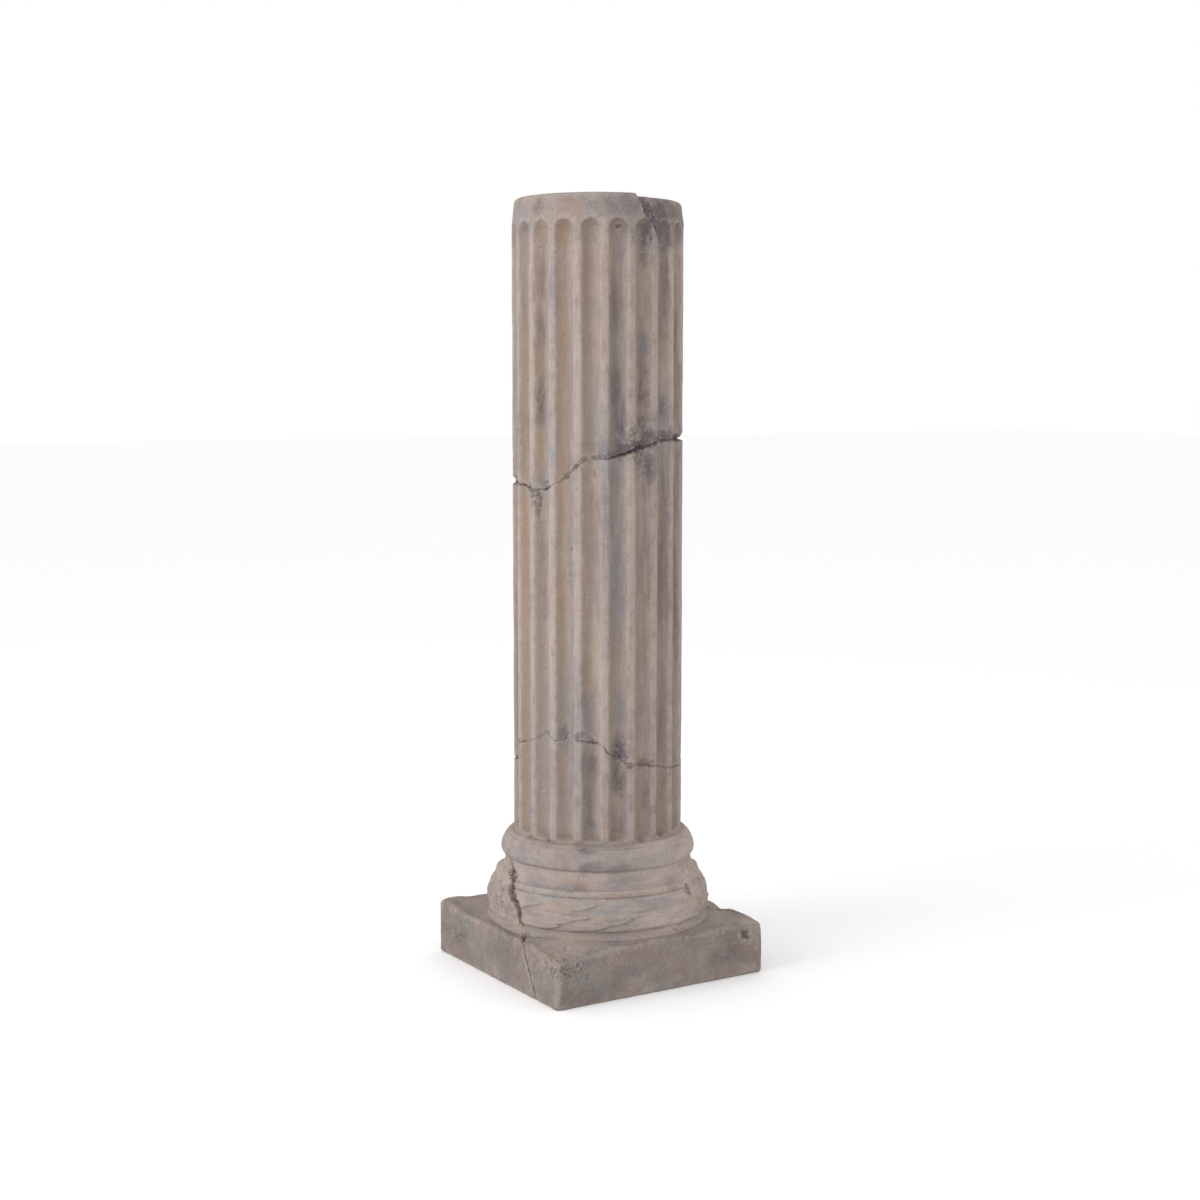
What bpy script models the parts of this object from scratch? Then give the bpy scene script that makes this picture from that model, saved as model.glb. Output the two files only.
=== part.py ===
"""A fluted pillar of cast stone on a square plinth, cracked and worn as if old.

It is one casting: a plinth, a base of turned mouldings with a torus of laurel leaves, a shaft
with round-headed flutes, and a plain neck with a flat top that a pot or a bust can stand on.
Lengths are in metres. +Z is up, and the origin is at the middle of the underside. The corner of
the plinth towards -X -Y is the front one.
"""

import math

import bmesh
import bpy
from mathutils import Vector

NAME = "fluted_pillar"
STONE_COLOUR = (0.37, 0.315, 0.275, 1.0)
STONE_ROUGHNESS = 0.9

# Heights of the bands, from the underside up.
PLINTH_HEIGHT = 0.0715
FOOT_HEIGHT = 0.009
LEAF_TORUS_HEIGHT = 0.042
LIP_HEIGHT = 0.010
SCOTIA_HEIGHT = 0.017
FILLET_HEIGHT = 0.003
GROOVE_HEIGHT = 0.002
UPPER_TORUS_HEIGHT = 0.033
SHAFT_HEIGHT = 0.8355

# The shaft's radius, and how far each moulding stands out from the shaft.
SHAFT_RADIUS = 0.113
UPPER_TORUS_REACH = 0.016
GROOVE_REACH = 0.0075
FILLET_REACH = 0.0105
LIP_REACH = 0.0265
NOTCH_REACH = 0.025
LEAF_TORUS_REACH = 0.0335
FOOT_REACH = 0.033
PLINTH_MARGIN = 0.0135
SEAT_DEPTH = 0.020
CORE_REACH = 0.018
RING_OVERLAP = 0.006
TORUS_STEPS = 6
SCOTIA_STEPS = 3
TURNED_STEPS = 60
MERGE_DISTANCE = 0.00001
SHARP_ANGLE = math.radians(35)

# The neck above the flutes, its rim, and the flat disc in the top that stays whole.
NECK_HEIGHT = 0.037
RIM_ROUND = 0.005
RIM_STEPS = 3
TOP_DISC_MARGIN = 0.030

# The flutes.
FLUTE_COUNT = 20
FLUTE_DEPTH = 0.007
FLUTE_SHARE = 0.64
FLUTE_TURN = math.radians(-1.3)
FLUTE_SILL = 0.0015
FLUTE_SIDES = 16
FLUTE_HEAD_STEPS = 4

# The leaves in low relief that lie along the lower torus in rows, their tips to the right and up.
LEAF_ROWS = 3
LEAVES_IN_ROW = 16
LEAF_LENGTH = 0.070
LEAF_WIDTH = 0.016
LEAF_PROUD = 0.0055
LEAF_BASE_SHARE = 0.30
LEAF_TILT = math.radians(8)
LEAF_RING_STEPS = 6 * LEAVES_IN_ROW
LEAF_PROFILE_STEPS = 8

# The plinth's edges, and the spots where its top is worn: the place as shares of the half side,
# then the radius and the depth of the wear.
PLINTH_EDGE = 0.005
PLINTH_EDGE_STEPS = 2
PLINTH_EDGE_ANGLE = math.radians(40)
PLINTH_GRID = 0.032
WEAR_LEAN = 0.45
WORN_SPOTS = (
    (-1.0, -1.0, 0.090, 0.018),
    (-1.0, -0.25, 0.080, 0.006),
    (-1.0, 0.50, 0.070, 0.007),
    (-1.0, 1.0, 0.045, 0.012),
    (-0.30, -1.0, 0.080, 0.004),
    (0.35, -1.0, 0.080, 0.005),
    (1.0, -1.0, 0.035, 0.006),
    (1.0, 0.45, 0.060, 0.005),
    (0.2, 1.0, 0.070, 0.005),
)

# The piece of the rim to the right of the top crack, which has slipped down.
SLIP_DROP = 0.0048
SLIP_FROM = -93
SLIP_TO = 8

# The cracks. On the shaft each point is an angle in degrees, a height above the shaft's foot and
# a width. The two rings close on themselves, and their last points are on the hidden side.
CRACK_OUTSIDE = 0.006
CRACK_DEPTH = 0.0125
CRACK_FLOOR_SHARE = 0.4
TOP_CRACK = (
    (-98, 0.842, 0.004),
    (-95, 0.832, 0.004),
    (-90, 0.820, 0.005),
    (-84, 0.799, 0.005),
    (-76, 0.785, 0.005),
    (-72, 0.771, 0.004),
    (-70, 0.757, 0.002),
)
MIDDLE_CRACK = (
    (-191, 0.468, 0.005),
    (-178, 0.461, 0.004),
    (-163, 0.461, 0.004),
    (-150, 0.470, 0.003),
    (-137, 0.488, 0.003),
    (-127, 0.498, 0.004),
    (-113, 0.500, 0.006),
    (-106, 0.506, 0.005),
    (-93, 0.511, 0.006),
    (-80, 0.520, 0.005),
    (-67, 0.523, 0.004),
    (-49, 0.525, 0.006),
    (-20, 0.520, 0.003),
    (15, 0.507, 0.003),
    (55, 0.512, 0.003),
    (95, 0.494, 0.003),
    (132, 0.483, 0.004),
)
LOWER_CRACK = (
    (-204, 0.098, 0.004),
    (-191, 0.124, 0.004),
    (-170, 0.133, 0.003),
    (-158, 0.142, 0.003),
    (-150, 0.135, 0.003),
    (-142, 0.147, 0.004),
    (-134, 0.138, 0.003),
    (-120, 0.132, 0.003),
    (-111, 0.117, 0.005),
    (-100, 0.101, 0.004),
    (-92, 0.105, 0.003),
    (-74, 0.097, 0.003),
    (-55, 0.088, 0.003),
    (-32, 0.096, 0.004),
    (0, 0.109, 0.003),
    (45, 0.101, 0.003),
    (90, 0.117, 0.003),
    (130, 0.106, 0.003),
)
# The base crack starts on the mouldings, as angles, heights above the plinth, reaches from the
# shaft and widths. It crosses the plinth's top, and runs down the plinth's -X face, as distances
# in from that face, places along it, shares of the plinth's height and widths.
BASE_CRACK_ON_MOULDINGS = (
    (-192, 0.092, 0.016, 0.003),
    (-189, 0.076, 0.010, 0.006),
    (-180, 0.063, 0.020, 0.009),
    (-175, 0.049, 0.028, 0.009),
    (-168, 0.032, 0.034, 0.007),
    (-164, 0.012, 0.034, 0.006),
)
BASE_CRACK_ON_PLINTH = (
    (0.012, -0.055, 0.98, 0.006),
    (0.002, -0.071, 0.94, 0.006),
    (0.000, -0.077, 0.74, 0.004),
    (0.000, -0.087, 0.50, 0.004),
    (0.000, -0.098, 0.28, 0.004),
    (0.000, -0.110, -0.06, 0.003),
)
BASE_CRACK_TURN = 0.018
BASE_CRACK_UPTURN = 2

FOOT_Z = PLINTH_HEIGHT
LEAF_TORUS_Z = FOOT_Z + FOOT_HEIGHT
LIP_Z = LEAF_TORUS_Z + LEAF_TORUS_HEIGHT
SCOTIA_Z = LIP_Z + LIP_HEIGHT
FILLET_Z = SCOTIA_Z + SCOTIA_HEIGHT
GROOVE_Z = FILLET_Z + FILLET_HEIGHT
UPPER_TORUS_Z = GROOVE_Z + GROOVE_HEIGHT
SHAFT_Z = UPPER_TORUS_Z + UPPER_TORUS_HEIGHT
TOP_Z = SHAFT_Z + SHAFT_HEIGHT
NECK_Z = TOP_Z - NECK_HEIGHT
HALF_PLINTH = SHAFT_RADIUS + LEAF_TORUS_REACH + PLINTH_MARGIN


def clear_scene():
    for old in list(bpy.data.objects):
        bpy.data.objects.remove(old, do_unlink=True)


def new_collection(name):
    collection = bpy.data.collections.new(name)
    bpy.context.scene.collection.children.link(collection)
    return collection


def stone_material():
    material = bpy.data.materials.new("cast_stone")
    material.use_nodes = True
    shader = material.node_tree.nodes["Principled BSDF"]
    shader.inputs["Base Color"].default_value = STONE_COLOUR
    shader.inputs["Roughness"].default_value = STONE_ROUGHNESS
    shader.inputs["Metallic"].default_value = 0.0
    return material


def object_from_bmesh(name, bm, collection):
    """Makes an object of the bmesh, with its faces pointing out."""
    bmesh.ops.recalc_face_normals(bm, faces=bm.faces)
    mesh = bpy.data.meshes.new(name)
    bm.to_mesh(mesh)
    bm.free()
    return object_from_mesh(name, mesh, collection)


def hide_helpers(collection):
    for helper in collection.objects:
        helper.hide_render = True
        helper.display_type = "WIRE"


def half_round(top, bottom, reach, angle):
    """The point of a torus's profile at an angle, from 0 at its top to pi at its bottom."""
    share = (1 - math.cos(angle)) / 2
    swell = reach - (top[0] + bottom[0]) / 2
    radius = top[0] + (bottom[0] - top[0]) * share + swell * math.sin(angle)
    return radius, top[1] + (bottom[1] - top[1]) * share


def leaf_torus_point(angle):
    top = (SHAFT_RADIUS + LIP_REACH, LIP_Z)
    bottom = (SHAFT_RADIUS + FOOT_REACH, LEAF_TORUS_Z)
    return half_round(top, bottom, SHAFT_RADIUS + LEAF_TORUS_REACH, angle)


def pillar_profile():
    """The outline that is turned, from the top of the axis down to where it ends in the plinth."""
    radius = SHAFT_RADIUS
    points = [(0, TOP_Z), (radius - TOP_DISC_MARGIN, TOP_Z)]
    for step in range(RIM_STEPS + 1):
        angle = math.pi / 2 * (1 - step / RIM_STEPS)
        across = radius - RIM_ROUND * (1 - math.cos(angle))
        points.append((across, TOP_Z - RIM_ROUND * (1 - math.sin(angle))))
    points.append((radius, NECK_Z))
    points.append((radius, SHAFT_Z))
    torus_top = (radius + FLUTE_SILL, SHAFT_Z)
    torus_bottom = (radius + GROOVE_REACH, UPPER_TORUS_Z)
    for step in range(TORUS_STEPS + 1):
        angle = math.pi * step / TORUS_STEPS
        points.append(half_round(torus_top, torus_bottom, radius + UPPER_TORUS_REACH, angle))
    points.append((radius + GROOVE_REACH, GROOVE_Z))
    points.append((radius + FILLET_REACH, GROOVE_Z))
    for step in range(SCOTIA_STEPS + 1):
        angle = math.pi / 2 * step / SCOTIA_STEPS
        reach = FILLET_REACH + (LIP_REACH - FILLET_REACH) * (1 - math.cos(angle))
        points.append((radius + reach, FILLET_Z - SCOTIA_HEIGHT * math.sin(angle)))
    points.append((radius + LIP_REACH, LIP_Z + GROOVE_HEIGHT))
    points.append((radius + NOTCH_REACH, LIP_Z + GROOVE_HEIGHT / 2))
    points.append((radius + NOTCH_REACH, LIP_Z - RING_OVERLAP))
    points.append((radius + CORE_REACH, LIP_Z - 2 * RING_OVERLAP))
    points.append((radius + CORE_REACH, FOOT_Z - SEAT_DEPTH))
    points.append((0, FOOT_Z - SEAT_DEPTH))
    return points


def turned_mesh(name, profile, steps):
    """Turns an outline about Z. It runs down its outer side, from the top to the bottom."""
    bm = bmesh.new()
    corners = [bm.verts.new((across, 0, height)) for across, height in profile]
    for first, second in zip(corners, corners[1:]):
        bm.edges.new((first, second))
    mesh = bpy.data.meshes.new(name)
    bm.to_mesh(mesh)
    bm.free()
    outline = bpy.data.objects.new(name, mesh)
    bpy.context.scene.collection.objects.link(outline)
    screw = outline.modifiers.new("turn", "SCREW")
    screw.steps = steps
    screw.render_steps = steps
    screw.use_merge_vertices = True
    screw.merge_threshold = MERGE_DISTANCE
    graph = bpy.context.evaluated_depsgraph_get()
    turned = bpy.data.meshes.new_from_object(outline.evaluated_get(graph))
    bpy.data.objects.remove(outline)
    return turned


def object_from_mesh(name, mesh, collection):
    made = bpy.data.objects.new(name, mesh)
    collection.objects.link(made)
    return made


def slipped(place):
    """Lowers a point of the rim that belongs to the piece right of the top crack."""
    angle = math.degrees(math.atan2(place.y, place.x))
    outside = math.hypot(place.x, place.y) > SHAFT_RADIUS - TOP_DISC_MARGIN + RIM_ROUND
    if outside and place.z > NECK_Z + RIM_ROUND and SLIP_FROM < angle < SLIP_TO:
        return place - Vector((0, 0, SLIP_DROP))
    return place


def turned_body(collection):
    """The turned pillar, its rim lowered where a piece has slipped."""
    turned = turned_mesh("body", pillar_profile(), TURNED_STEPS)
    for vertex in turned.vertices:
        vertex.co = slipped(vertex.co.copy())
    return object_from_mesh(NAME, turned, collection)


def leaf_relief(turn, down):
    """How far the leaves stand out at a turn about the axis and a distance down the torus."""
    pitch = 2 * math.pi / LEAVES_IN_ROW
    radius = SHAFT_RADIUS + LEAF_TORUS_REACH
    relief = 0
    for row in range(LEAF_ROWS):
        row_down = LEAF_TORUS_HEIGHT * (row + 1) / (LEAF_ROWS + 1)
        first = pitch * row / LEAF_ROWS
        nearest = round((turn - first) / pitch)
        for index in (nearest - 1, nearest, nearest + 1):
            right = (turn - first - index * pitch) * radius
            up = row_down - down
            along = (right * math.cos(LEAF_TILT) + up * math.sin(LEAF_TILT)) / (LEAF_LENGTH / 2)
            across = (up * math.cos(LEAF_TILT) - right * math.sin(LEAF_TILT)) / (LEAF_WIDTH / 2)
            width = max(1 - along**2, 0)
            if abs(across) >= width:
                continue
            rise = LEAF_BASE_SHARE + (1 - LEAF_BASE_SHARE) * (along + 1) / 2
            relief = max(relief, LEAF_PROUD * rise * (1 - abs(across) / width))
    return relief


def leaf_ring(collection):
    """The lower torus with its leaves, and the plain foot below it that sits in the plinth."""
    inner = SHAFT_RADIUS + CORE_REACH - RING_OVERLAP
    low = FOOT_Z - SEAT_DEPTH - RING_OVERLAP
    profile = [(inner, LIP_Z)]
    for step in range(LEAF_PROFILE_STEPS + 1):
        profile.append(leaf_torus_point(math.pi * step / LEAF_PROFILE_STEPS))
    profile.append((SHAFT_RADIUS + FOOT_REACH, low))
    profile.append((inner, low))
    profile.append((inner, LIP_Z))
    ring = turned_mesh("leaf_ring", profile, LEAF_RING_STEPS)
    for vertex in ring.vertices:
        place = vertex.co.copy()
        across = math.hypot(place.x, place.y)
        if across < SHAFT_RADIUS + LIP_REACH or not LEAF_TORUS_Z < place.z < LIP_Z:
            continue
        relief = leaf_relief(math.atan2(place.y, place.x), LIP_Z - place.z)
        stretch = 1 + relief / across
        vertex.co = Vector((place.x * stretch, place.y * stretch, place.z))
    bm = bmesh.new()
    bm.from_mesh(ring)
    bmesh.ops.remove_doubles(bm, verts=bm.verts, dist=MERGE_DISTANCE)
    object_from_bmesh("leaf_ring", bm, collection)


def worn(place):
    """Moves a point of the plinth down and in, where a worn spot reaches it."""
    moved = place.copy()
    for share_x, share_y, radius, depth in WORN_SPOTS:
        spot = Vector((share_x * HALF_PLINTH, share_y * HALF_PLINTH, PLINTH_HEIGHT))
        distance = (place - spot).length
        if distance >= radius:
            continue
        lean_x = WEAR_LEAN * share_x if abs(share_x) == 1 else 0
        lean_y = WEAR_LEAN * share_y if abs(share_y) == 1 else 0
        inwards = Vector((lean_x, lean_y, 1)).normalized()
        share = (1 - (distance / radius) ** 2) ** 2 * place.z / PLINTH_HEIGHT
        moved -= inwards * depth * share
    return moved


def plinth(collection):
    """A square block with rounded edges, divided finely enough for its wear."""
    bm = bmesh.new()
    bmesh.ops.create_cube(bm, size=1)
    size = Vector((2 * HALF_PLINTH, 2 * HALF_PLINTH, PLINTH_HEIGHT))
    bmesh.ops.scale(bm, vec=size, verts=bm.verts)
    bmesh.ops.translate(bm, vec=(0, 0, PLINTH_HEIGHT / 2), verts=bm.verts)
    for axis in range(3):
        along = [e for e in bm.edges if abs((e.verts[0].co - e.verts[1].co)[axis]) > PLINTH_EDGE]
        cuts = round(size[axis] / PLINTH_GRID) - 1
        bmesh.ops.subdivide_edges(bm, edges=along, cuts=max(cuts, 1), use_grid_fill=True)
    block = object_from_bmesh("plinth", bm, collection)
    bevel = block.modifiers.new("edges", "BEVEL")
    bevel.width = PLINTH_EDGE
    bevel.segments = PLINTH_EDGE_STEPS
    bevel.limit_method = "ANGLE"
    bevel.angle_limit = PLINTH_EDGE_ANGLE
    graph = bpy.context.evaluated_depsgraph_get()
    rounded = bpy.data.meshes.new_from_object(block.evaluated_get(graph))
    block.modifiers.clear()
    block.data = rounded
    for vertex in rounded.vertices:
        vertex.co = worn(vertex.co)


def flute_shape():
    """The radius of a flute's round section, its centre's distance from the axis, and half its width."""
    half_angle = math.pi / FLUTE_COUNT * FLUTE_SHARE
    half_width = SHAFT_RADIUS * math.sin(half_angle)
    below_chord = FLUTE_DEPTH - SHAFT_RADIUS * (1 - math.cos(half_angle))
    radius = (half_width**2 + below_chord**2) / (2 * below_chord)
    return radius, SHAFT_RADIUS - FLUTE_DEPTH + radius, half_width


def flute_cutters(collection):
    """Long round bars with domed heads, one for each flute."""
    radius, distance, half_width = flute_shape()
    dome_z = NECK_Z - half_width
    profile = []
    for step in range(FLUTE_HEAD_STEPS + 1):
        angle = math.pi / 2 * (1 - step / FLUTE_HEAD_STEPS)
        across = radius * math.cos(angle) if step else 0
        profile.append((across, dome_z + radius * math.sin(angle)))
    profile.append((radius, SHAFT_Z + FLUTE_SILL))
    profile.append((0, SHAFT_Z + FLUTE_SILL))
    bar = turned_mesh("flute", profile, FLUTE_SIDES)
    for index in range(FLUTE_COUNT):
        turn = FLUTE_TURN + 2 * math.pi * index / FLUTE_COUNT
        cutter = object_from_mesh(f"flute_{index}", bar, collection)
        cutter.location = (distance * math.cos(turn), distance * math.sin(turn), 0)
        cutter.rotation_euler = (0, 0, turn + math.pi / FLUTE_SIDES)


def on_round(degrees, height, radius):
    """A point at an angle and a height on the round body, and the direction out of it."""
    angle = math.radians(degrees)
    out = Vector((math.cos(angle), math.sin(angle), 0))
    return out * radius + Vector((0, 0, height)), out


def crack_cutter(name, stations, closed, collection):
    """A wedge that follows the stations: each is a point, the direction out of it and a width."""
    bm = bmesh.new()
    sections = []
    count = len(stations)
    for index, (point, out, width) in enumerate(stations):
        before = stations[index - 1 if closed else max(index - 1, 0)][0]
        after = stations[(index + 1) % count if closed else min(index + 1, count - 1)][0]
        across = (after - before).cross(out).normalized() * width / 2
        outside = point + out * CRACK_OUTSIDE
        inside = point - out * CRACK_DEPTH
        corners = (
            outside + across,
            outside - across,
            inside - across * CRACK_FLOOR_SHARE,
            inside + across * CRACK_FLOOR_SHARE,
        )
        sections.append([bm.verts.new(corner) for corner in corners])
    last = count if closed else count - 1
    for index in range(last):
        first, second = sections[index], sections[(index + 1) % count]
        for side in range(4):
            after = (side + 1) % 4
            bm.faces.new((first[side], first[after], second[after], second[side]))
    if not closed:
        bm.faces.new(sections[0])
        bm.faces.new(sections[-1][::-1])
    object_from_bmesh(name, bm, collection)


def shaft_stations(points):
    return [(*on_round(angle, SHAFT_Z + up, SHAFT_RADIUS), width) for angle, up, width in points]


def base_crack_stations():
    """The base crack's points, over the mouldings, across the plinth's top and down its face."""
    stations = []
    for degrees, up, reach, width in BASE_CRACK_ON_MOULDINGS:
        point, out = on_round(degrees, PLINTH_HEIGHT + up, SHAFT_RADIUS + reach)
        stations.append((point, out, width))
    for inwards, along, share, width in BASE_CRACK_ON_PLINTH:
        point = Vector((inwards - HALF_PLINTH, along, PLINTH_HEIGHT * share))
        turned = max(0, 1 - PLINTH_HEIGHT * (1 - share) / BASE_CRACK_TURN)
        out = Vector((-1, 0, BASE_CRACK_UPTURN * turned)).normalized()
        stations.append((point, out, width))
    return stations


def cracks(collection):
    crack_cutter("top_crack", shaft_stations(TOP_CRACK), False, collection)
    crack_cutter("middle_crack", shaft_stations(MIDDLE_CRACK), True, collection)
    crack_cutter("lower_crack", shaft_stations(LOWER_CRACK), True, collection)
    crack_cutter("base_crack", base_crack_stations(), False, collection)


def combine(body, name, operation, collection):
    boolean = body.modifiers.new(name, "BOOLEAN")
    boolean.operation = operation
    boolean.operand_type = "COLLECTION"
    boolean.collection = collection
    boolean.solver = "EXACT"


def main():
    clear_scene()
    pillar = new_collection("decorative_pillar")
    added = new_collection("added_forms")
    flute_bars = new_collection("flute_cutters")
    crack_wedges = new_collection("crack_cutters")
    body = turned_body(pillar)
    plinth(added)
    leaf_ring(added)
    flute_cutters(flute_bars)
    cracks(crack_wedges)
    for helpers in (added, flute_bars, crack_wedges):
        hide_helpers(helpers)
    combine(body, "plinth and leaves", "UNION", added)
    combine(body, "flutes", "DIFFERENCE", flute_bars)
    combine(body, "cracks", "DIFFERENCE", crack_wedges)
    body.data.shade_smooth()
    body.data.set_sharp_from_angle(angle=SHARP_ANGLE)
    body.data.materials.append(stone_material())


main()
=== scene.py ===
# %% [markdown]
# # A fluted pillar in worn cast stone
#
# This lesson dresses a plain CAD pillar until it looks like an old garden casting: a square
# plinth, turned mouldings with a torus of laurel leaves, a fluted shaft and a plain neck. All
# lengths are in metres, +Z is up, and the plinth's corner towards -X -Y is the front one.

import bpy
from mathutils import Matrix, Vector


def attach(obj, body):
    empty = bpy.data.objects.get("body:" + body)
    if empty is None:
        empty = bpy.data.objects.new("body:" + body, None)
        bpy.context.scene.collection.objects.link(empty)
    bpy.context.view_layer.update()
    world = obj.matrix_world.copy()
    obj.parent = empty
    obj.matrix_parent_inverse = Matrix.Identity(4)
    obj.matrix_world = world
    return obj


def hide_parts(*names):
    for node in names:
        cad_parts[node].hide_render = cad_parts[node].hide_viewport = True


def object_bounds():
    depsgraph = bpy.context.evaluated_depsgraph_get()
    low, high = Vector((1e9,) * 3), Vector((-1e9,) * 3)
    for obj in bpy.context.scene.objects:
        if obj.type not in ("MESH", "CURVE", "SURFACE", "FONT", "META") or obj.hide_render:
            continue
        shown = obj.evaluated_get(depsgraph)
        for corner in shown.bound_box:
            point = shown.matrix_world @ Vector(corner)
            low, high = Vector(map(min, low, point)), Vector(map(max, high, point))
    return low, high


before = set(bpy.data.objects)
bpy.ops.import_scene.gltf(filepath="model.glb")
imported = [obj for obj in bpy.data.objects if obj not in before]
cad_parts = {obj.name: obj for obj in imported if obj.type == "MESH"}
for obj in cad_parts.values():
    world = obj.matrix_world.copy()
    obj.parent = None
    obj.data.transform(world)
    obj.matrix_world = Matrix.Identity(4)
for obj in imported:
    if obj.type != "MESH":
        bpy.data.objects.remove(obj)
cad_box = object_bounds()
print("CAD box", [[round(v, 4) for v in corner] for corner in cad_box])

# %% The other modules
import math

import bpy
import numpy as np
from mathutils import Vector

MM = 0.001
print("Blender", bpy.app.version_string)

# %% [markdown]
# ## The camera
#
# The picture is taken from about 2.6 m away, a little above the middle of the pillar. The
# camera's place, turn and lens were worked out from the plinth's corners and the shaft's rings.
# It comes first, so that each later step can be judged through it. Nothing is out of focus.

# %% Set up the camera
CAMERA_PLACE = (-1.3572, -2.1696, 0.7666)
CAMERA_TURN = (90 - 5.976, 0, -32.026)
CAMERA_LENS = 57.602
CAMERA_SHIFT = (0.00197, -0.00189)

camera_data = bpy.data.cameras.new("camera")
camera_data.sensor_width = 36
camera_data.lens = CAMERA_LENS
camera_data.shift_x, camera_data.shift_y = CAMERA_SHIFT
camera = bpy.data.objects.new("camera", camera_data)
camera.location = CAMERA_PLACE
camera.rotation_euler = [math.radians(angle) for angle in CAMERA_TURN]
bpy.context.scene.collection.objects.link(camera)
bpy.context.scene.camera = camera
print("camera", CAMERA_LENS, "mm")

# %% [markdown]
# ## One helper for every node tree
#
# Geometry and materials are both built from nodes. One function adds a node, sets its options
# and fills its inputs. An input can be a number, a socket, or another node, which stands for its
# first output, so a tree reads from top to bottom like a list of steps.


# %% Add a node
def add(kind, inputs=(), **settings):
    """Adds a node to the tree in hand. A kind in capitals is the operation of a Math node."""
    if kind.isupper():
        kind, settings = "ShaderNodeMath", settings | {"operation": kind}
    node = tree.nodes.new(kind)
    for name, value in settings.items():
        setattr(node, name, value)
    pairs = inputs.items() if isinstance(inputs, dict) else enumerate(inputs)
    for key, value in pairs:
        if isinstance(value, bpy.types.Node):
            value = value.outputs[0]
        if isinstance(value, bpy.types.NodeSocket):
            tree.links.new(value, node.inputs[key])
        elif value is not None:
            node.inputs[key].default_value = value
    return node


VECTOR, MAP, NOISE = "ShaderNodeVectorMath", "ShaderNodeMapRange", "ShaderNodeTexNoise"
JOIN, SPLIT = "ShaderNodeCombineXYZ", "ShaderNodeSeparateXYZ"
POSITION, STORE = "GeometryNodeInputPosition", "GeometryNodeStoreNamedAttribute"
SMOOTH = {"interpolation_type": "SMOOTHSTEP"}
print(add.__doc__)

# %% [markdown]
# ## The outline of the pillar
#
# A turned piece is one outline carried round an axis. The outline here is a list of stations
# from the middle of the top down to the middle of the underside. Each has the radius of a ring,
# the half side of a square, its height, and how square the ring is: 0 on the turned part, 1 on
# the plinth, and in between on the plinth's top. Stations lie closer together where a crack or a
# moulding needs them.

# %% Sizes, the same as in the CAD source
PLINTH_HEIGHT = 0.0715
FOOT_HEIGHT = 0.009
LEAF_TORUS_HEIGHT = 0.042
LIP_HEIGHT = 0.010
SCOTIA_HEIGHT = 0.017
FILLET_HEIGHT = 0.003
GROOVE_HEIGHT = 0.002
UPPER_TORUS_HEIGHT = 0.033
SHAFT_HEIGHT = 0.8355
SHAFT_RADIUS = 0.113
HALF_PLINTH = 0.160
NECK_HEIGHT = 0.037

LEAF_TORUS_Z = PLINTH_HEIGHT + FOOT_HEIGHT
LIP_Z = LEAF_TORUS_Z + LEAF_TORUS_HEIGHT
SCOTIA_Z = LIP_Z + LIP_HEIGHT
FILLET_Z = SCOTIA_Z + SCOTIA_HEIGHT
GROOVE_Z = FILLET_Z + FILLET_HEIGHT
UPPER_TORUS_Z = GROOVE_Z + GROOVE_HEIGHT
SHAFT_Z = UPPER_TORUS_Z + UPPER_TORUS_HEIGHT
TOP_Z = SHAFT_Z + SHAFT_HEIGHT
NECK_Z = TOP_Z - NECK_HEIGHT
print("top of the pillar at", round(TOP_Z, 4))

# %% The finest spacing of stations and columns
FINE = 0.0009
COARSE = 2 * FINE
COLUMNS = 720
print("a station every", FINE / MM, "mm at the finest,", COLUMNS, "columns")


# %% Straight and curved runs of stations
def run(start, end, spacing):
    """Stations on a straight line, without its first point."""
    count = max(1, round(math.dist(start, end) / spacing))
    return [tuple(np.interp(step / count, (0, 1), pair) for pair in zip(start, end))
            for step in range(1, count + 1)]


def swell(top, bottom, reach, spacing):
    """Stations on a half round that swells to a reach between two points."""
    count = max(4, round(1.4 * abs(top[1] - bottom[1]) / spacing))
    stations = []
    for step in range(1, count + 1):
        angle = math.pi * step / count
        share = (1 - math.cos(angle)) / 2
        radius = top[0] + (bottom[0] - top[0]) * share
        radius += (reach - (top[0] + bottom[0]) / 2) * math.sin(angle)
        stations.append((radius, top[1] + (bottom[1] - top[1]) * share))
    return stations


def quarter(start, end, spacing, hollow):
    """Stations on a quarter round: hollow leaves the start downwards, the other one sideways."""
    count = max(3, round(1.4 * math.dist(start, end) / spacing))
    stations = []
    for step in range(1, count + 1):
        angle = math.pi / 2 * step / count
        down, out = math.sin(angle), 1 - math.cos(angle)
        if not hollow:
            down, out = out, down
        stations.append((start[0] + (end[0] - start[0]) * out,
                         start[1] + (end[1] - start[1]) * down))
    return stations


print(len(run((0, 0), (0, 0.1), FINE)), "fine stations on 100 mm")


# %% Draw the turned part of the outline
RIM_RADIUS = SHAFT_RADIUS - 0.0030
RIM_ROUND = 0.0055
INCISED_Z = SHAFT_Z - 0.0045
INCISED_DEPTH = 0.0009

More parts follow.
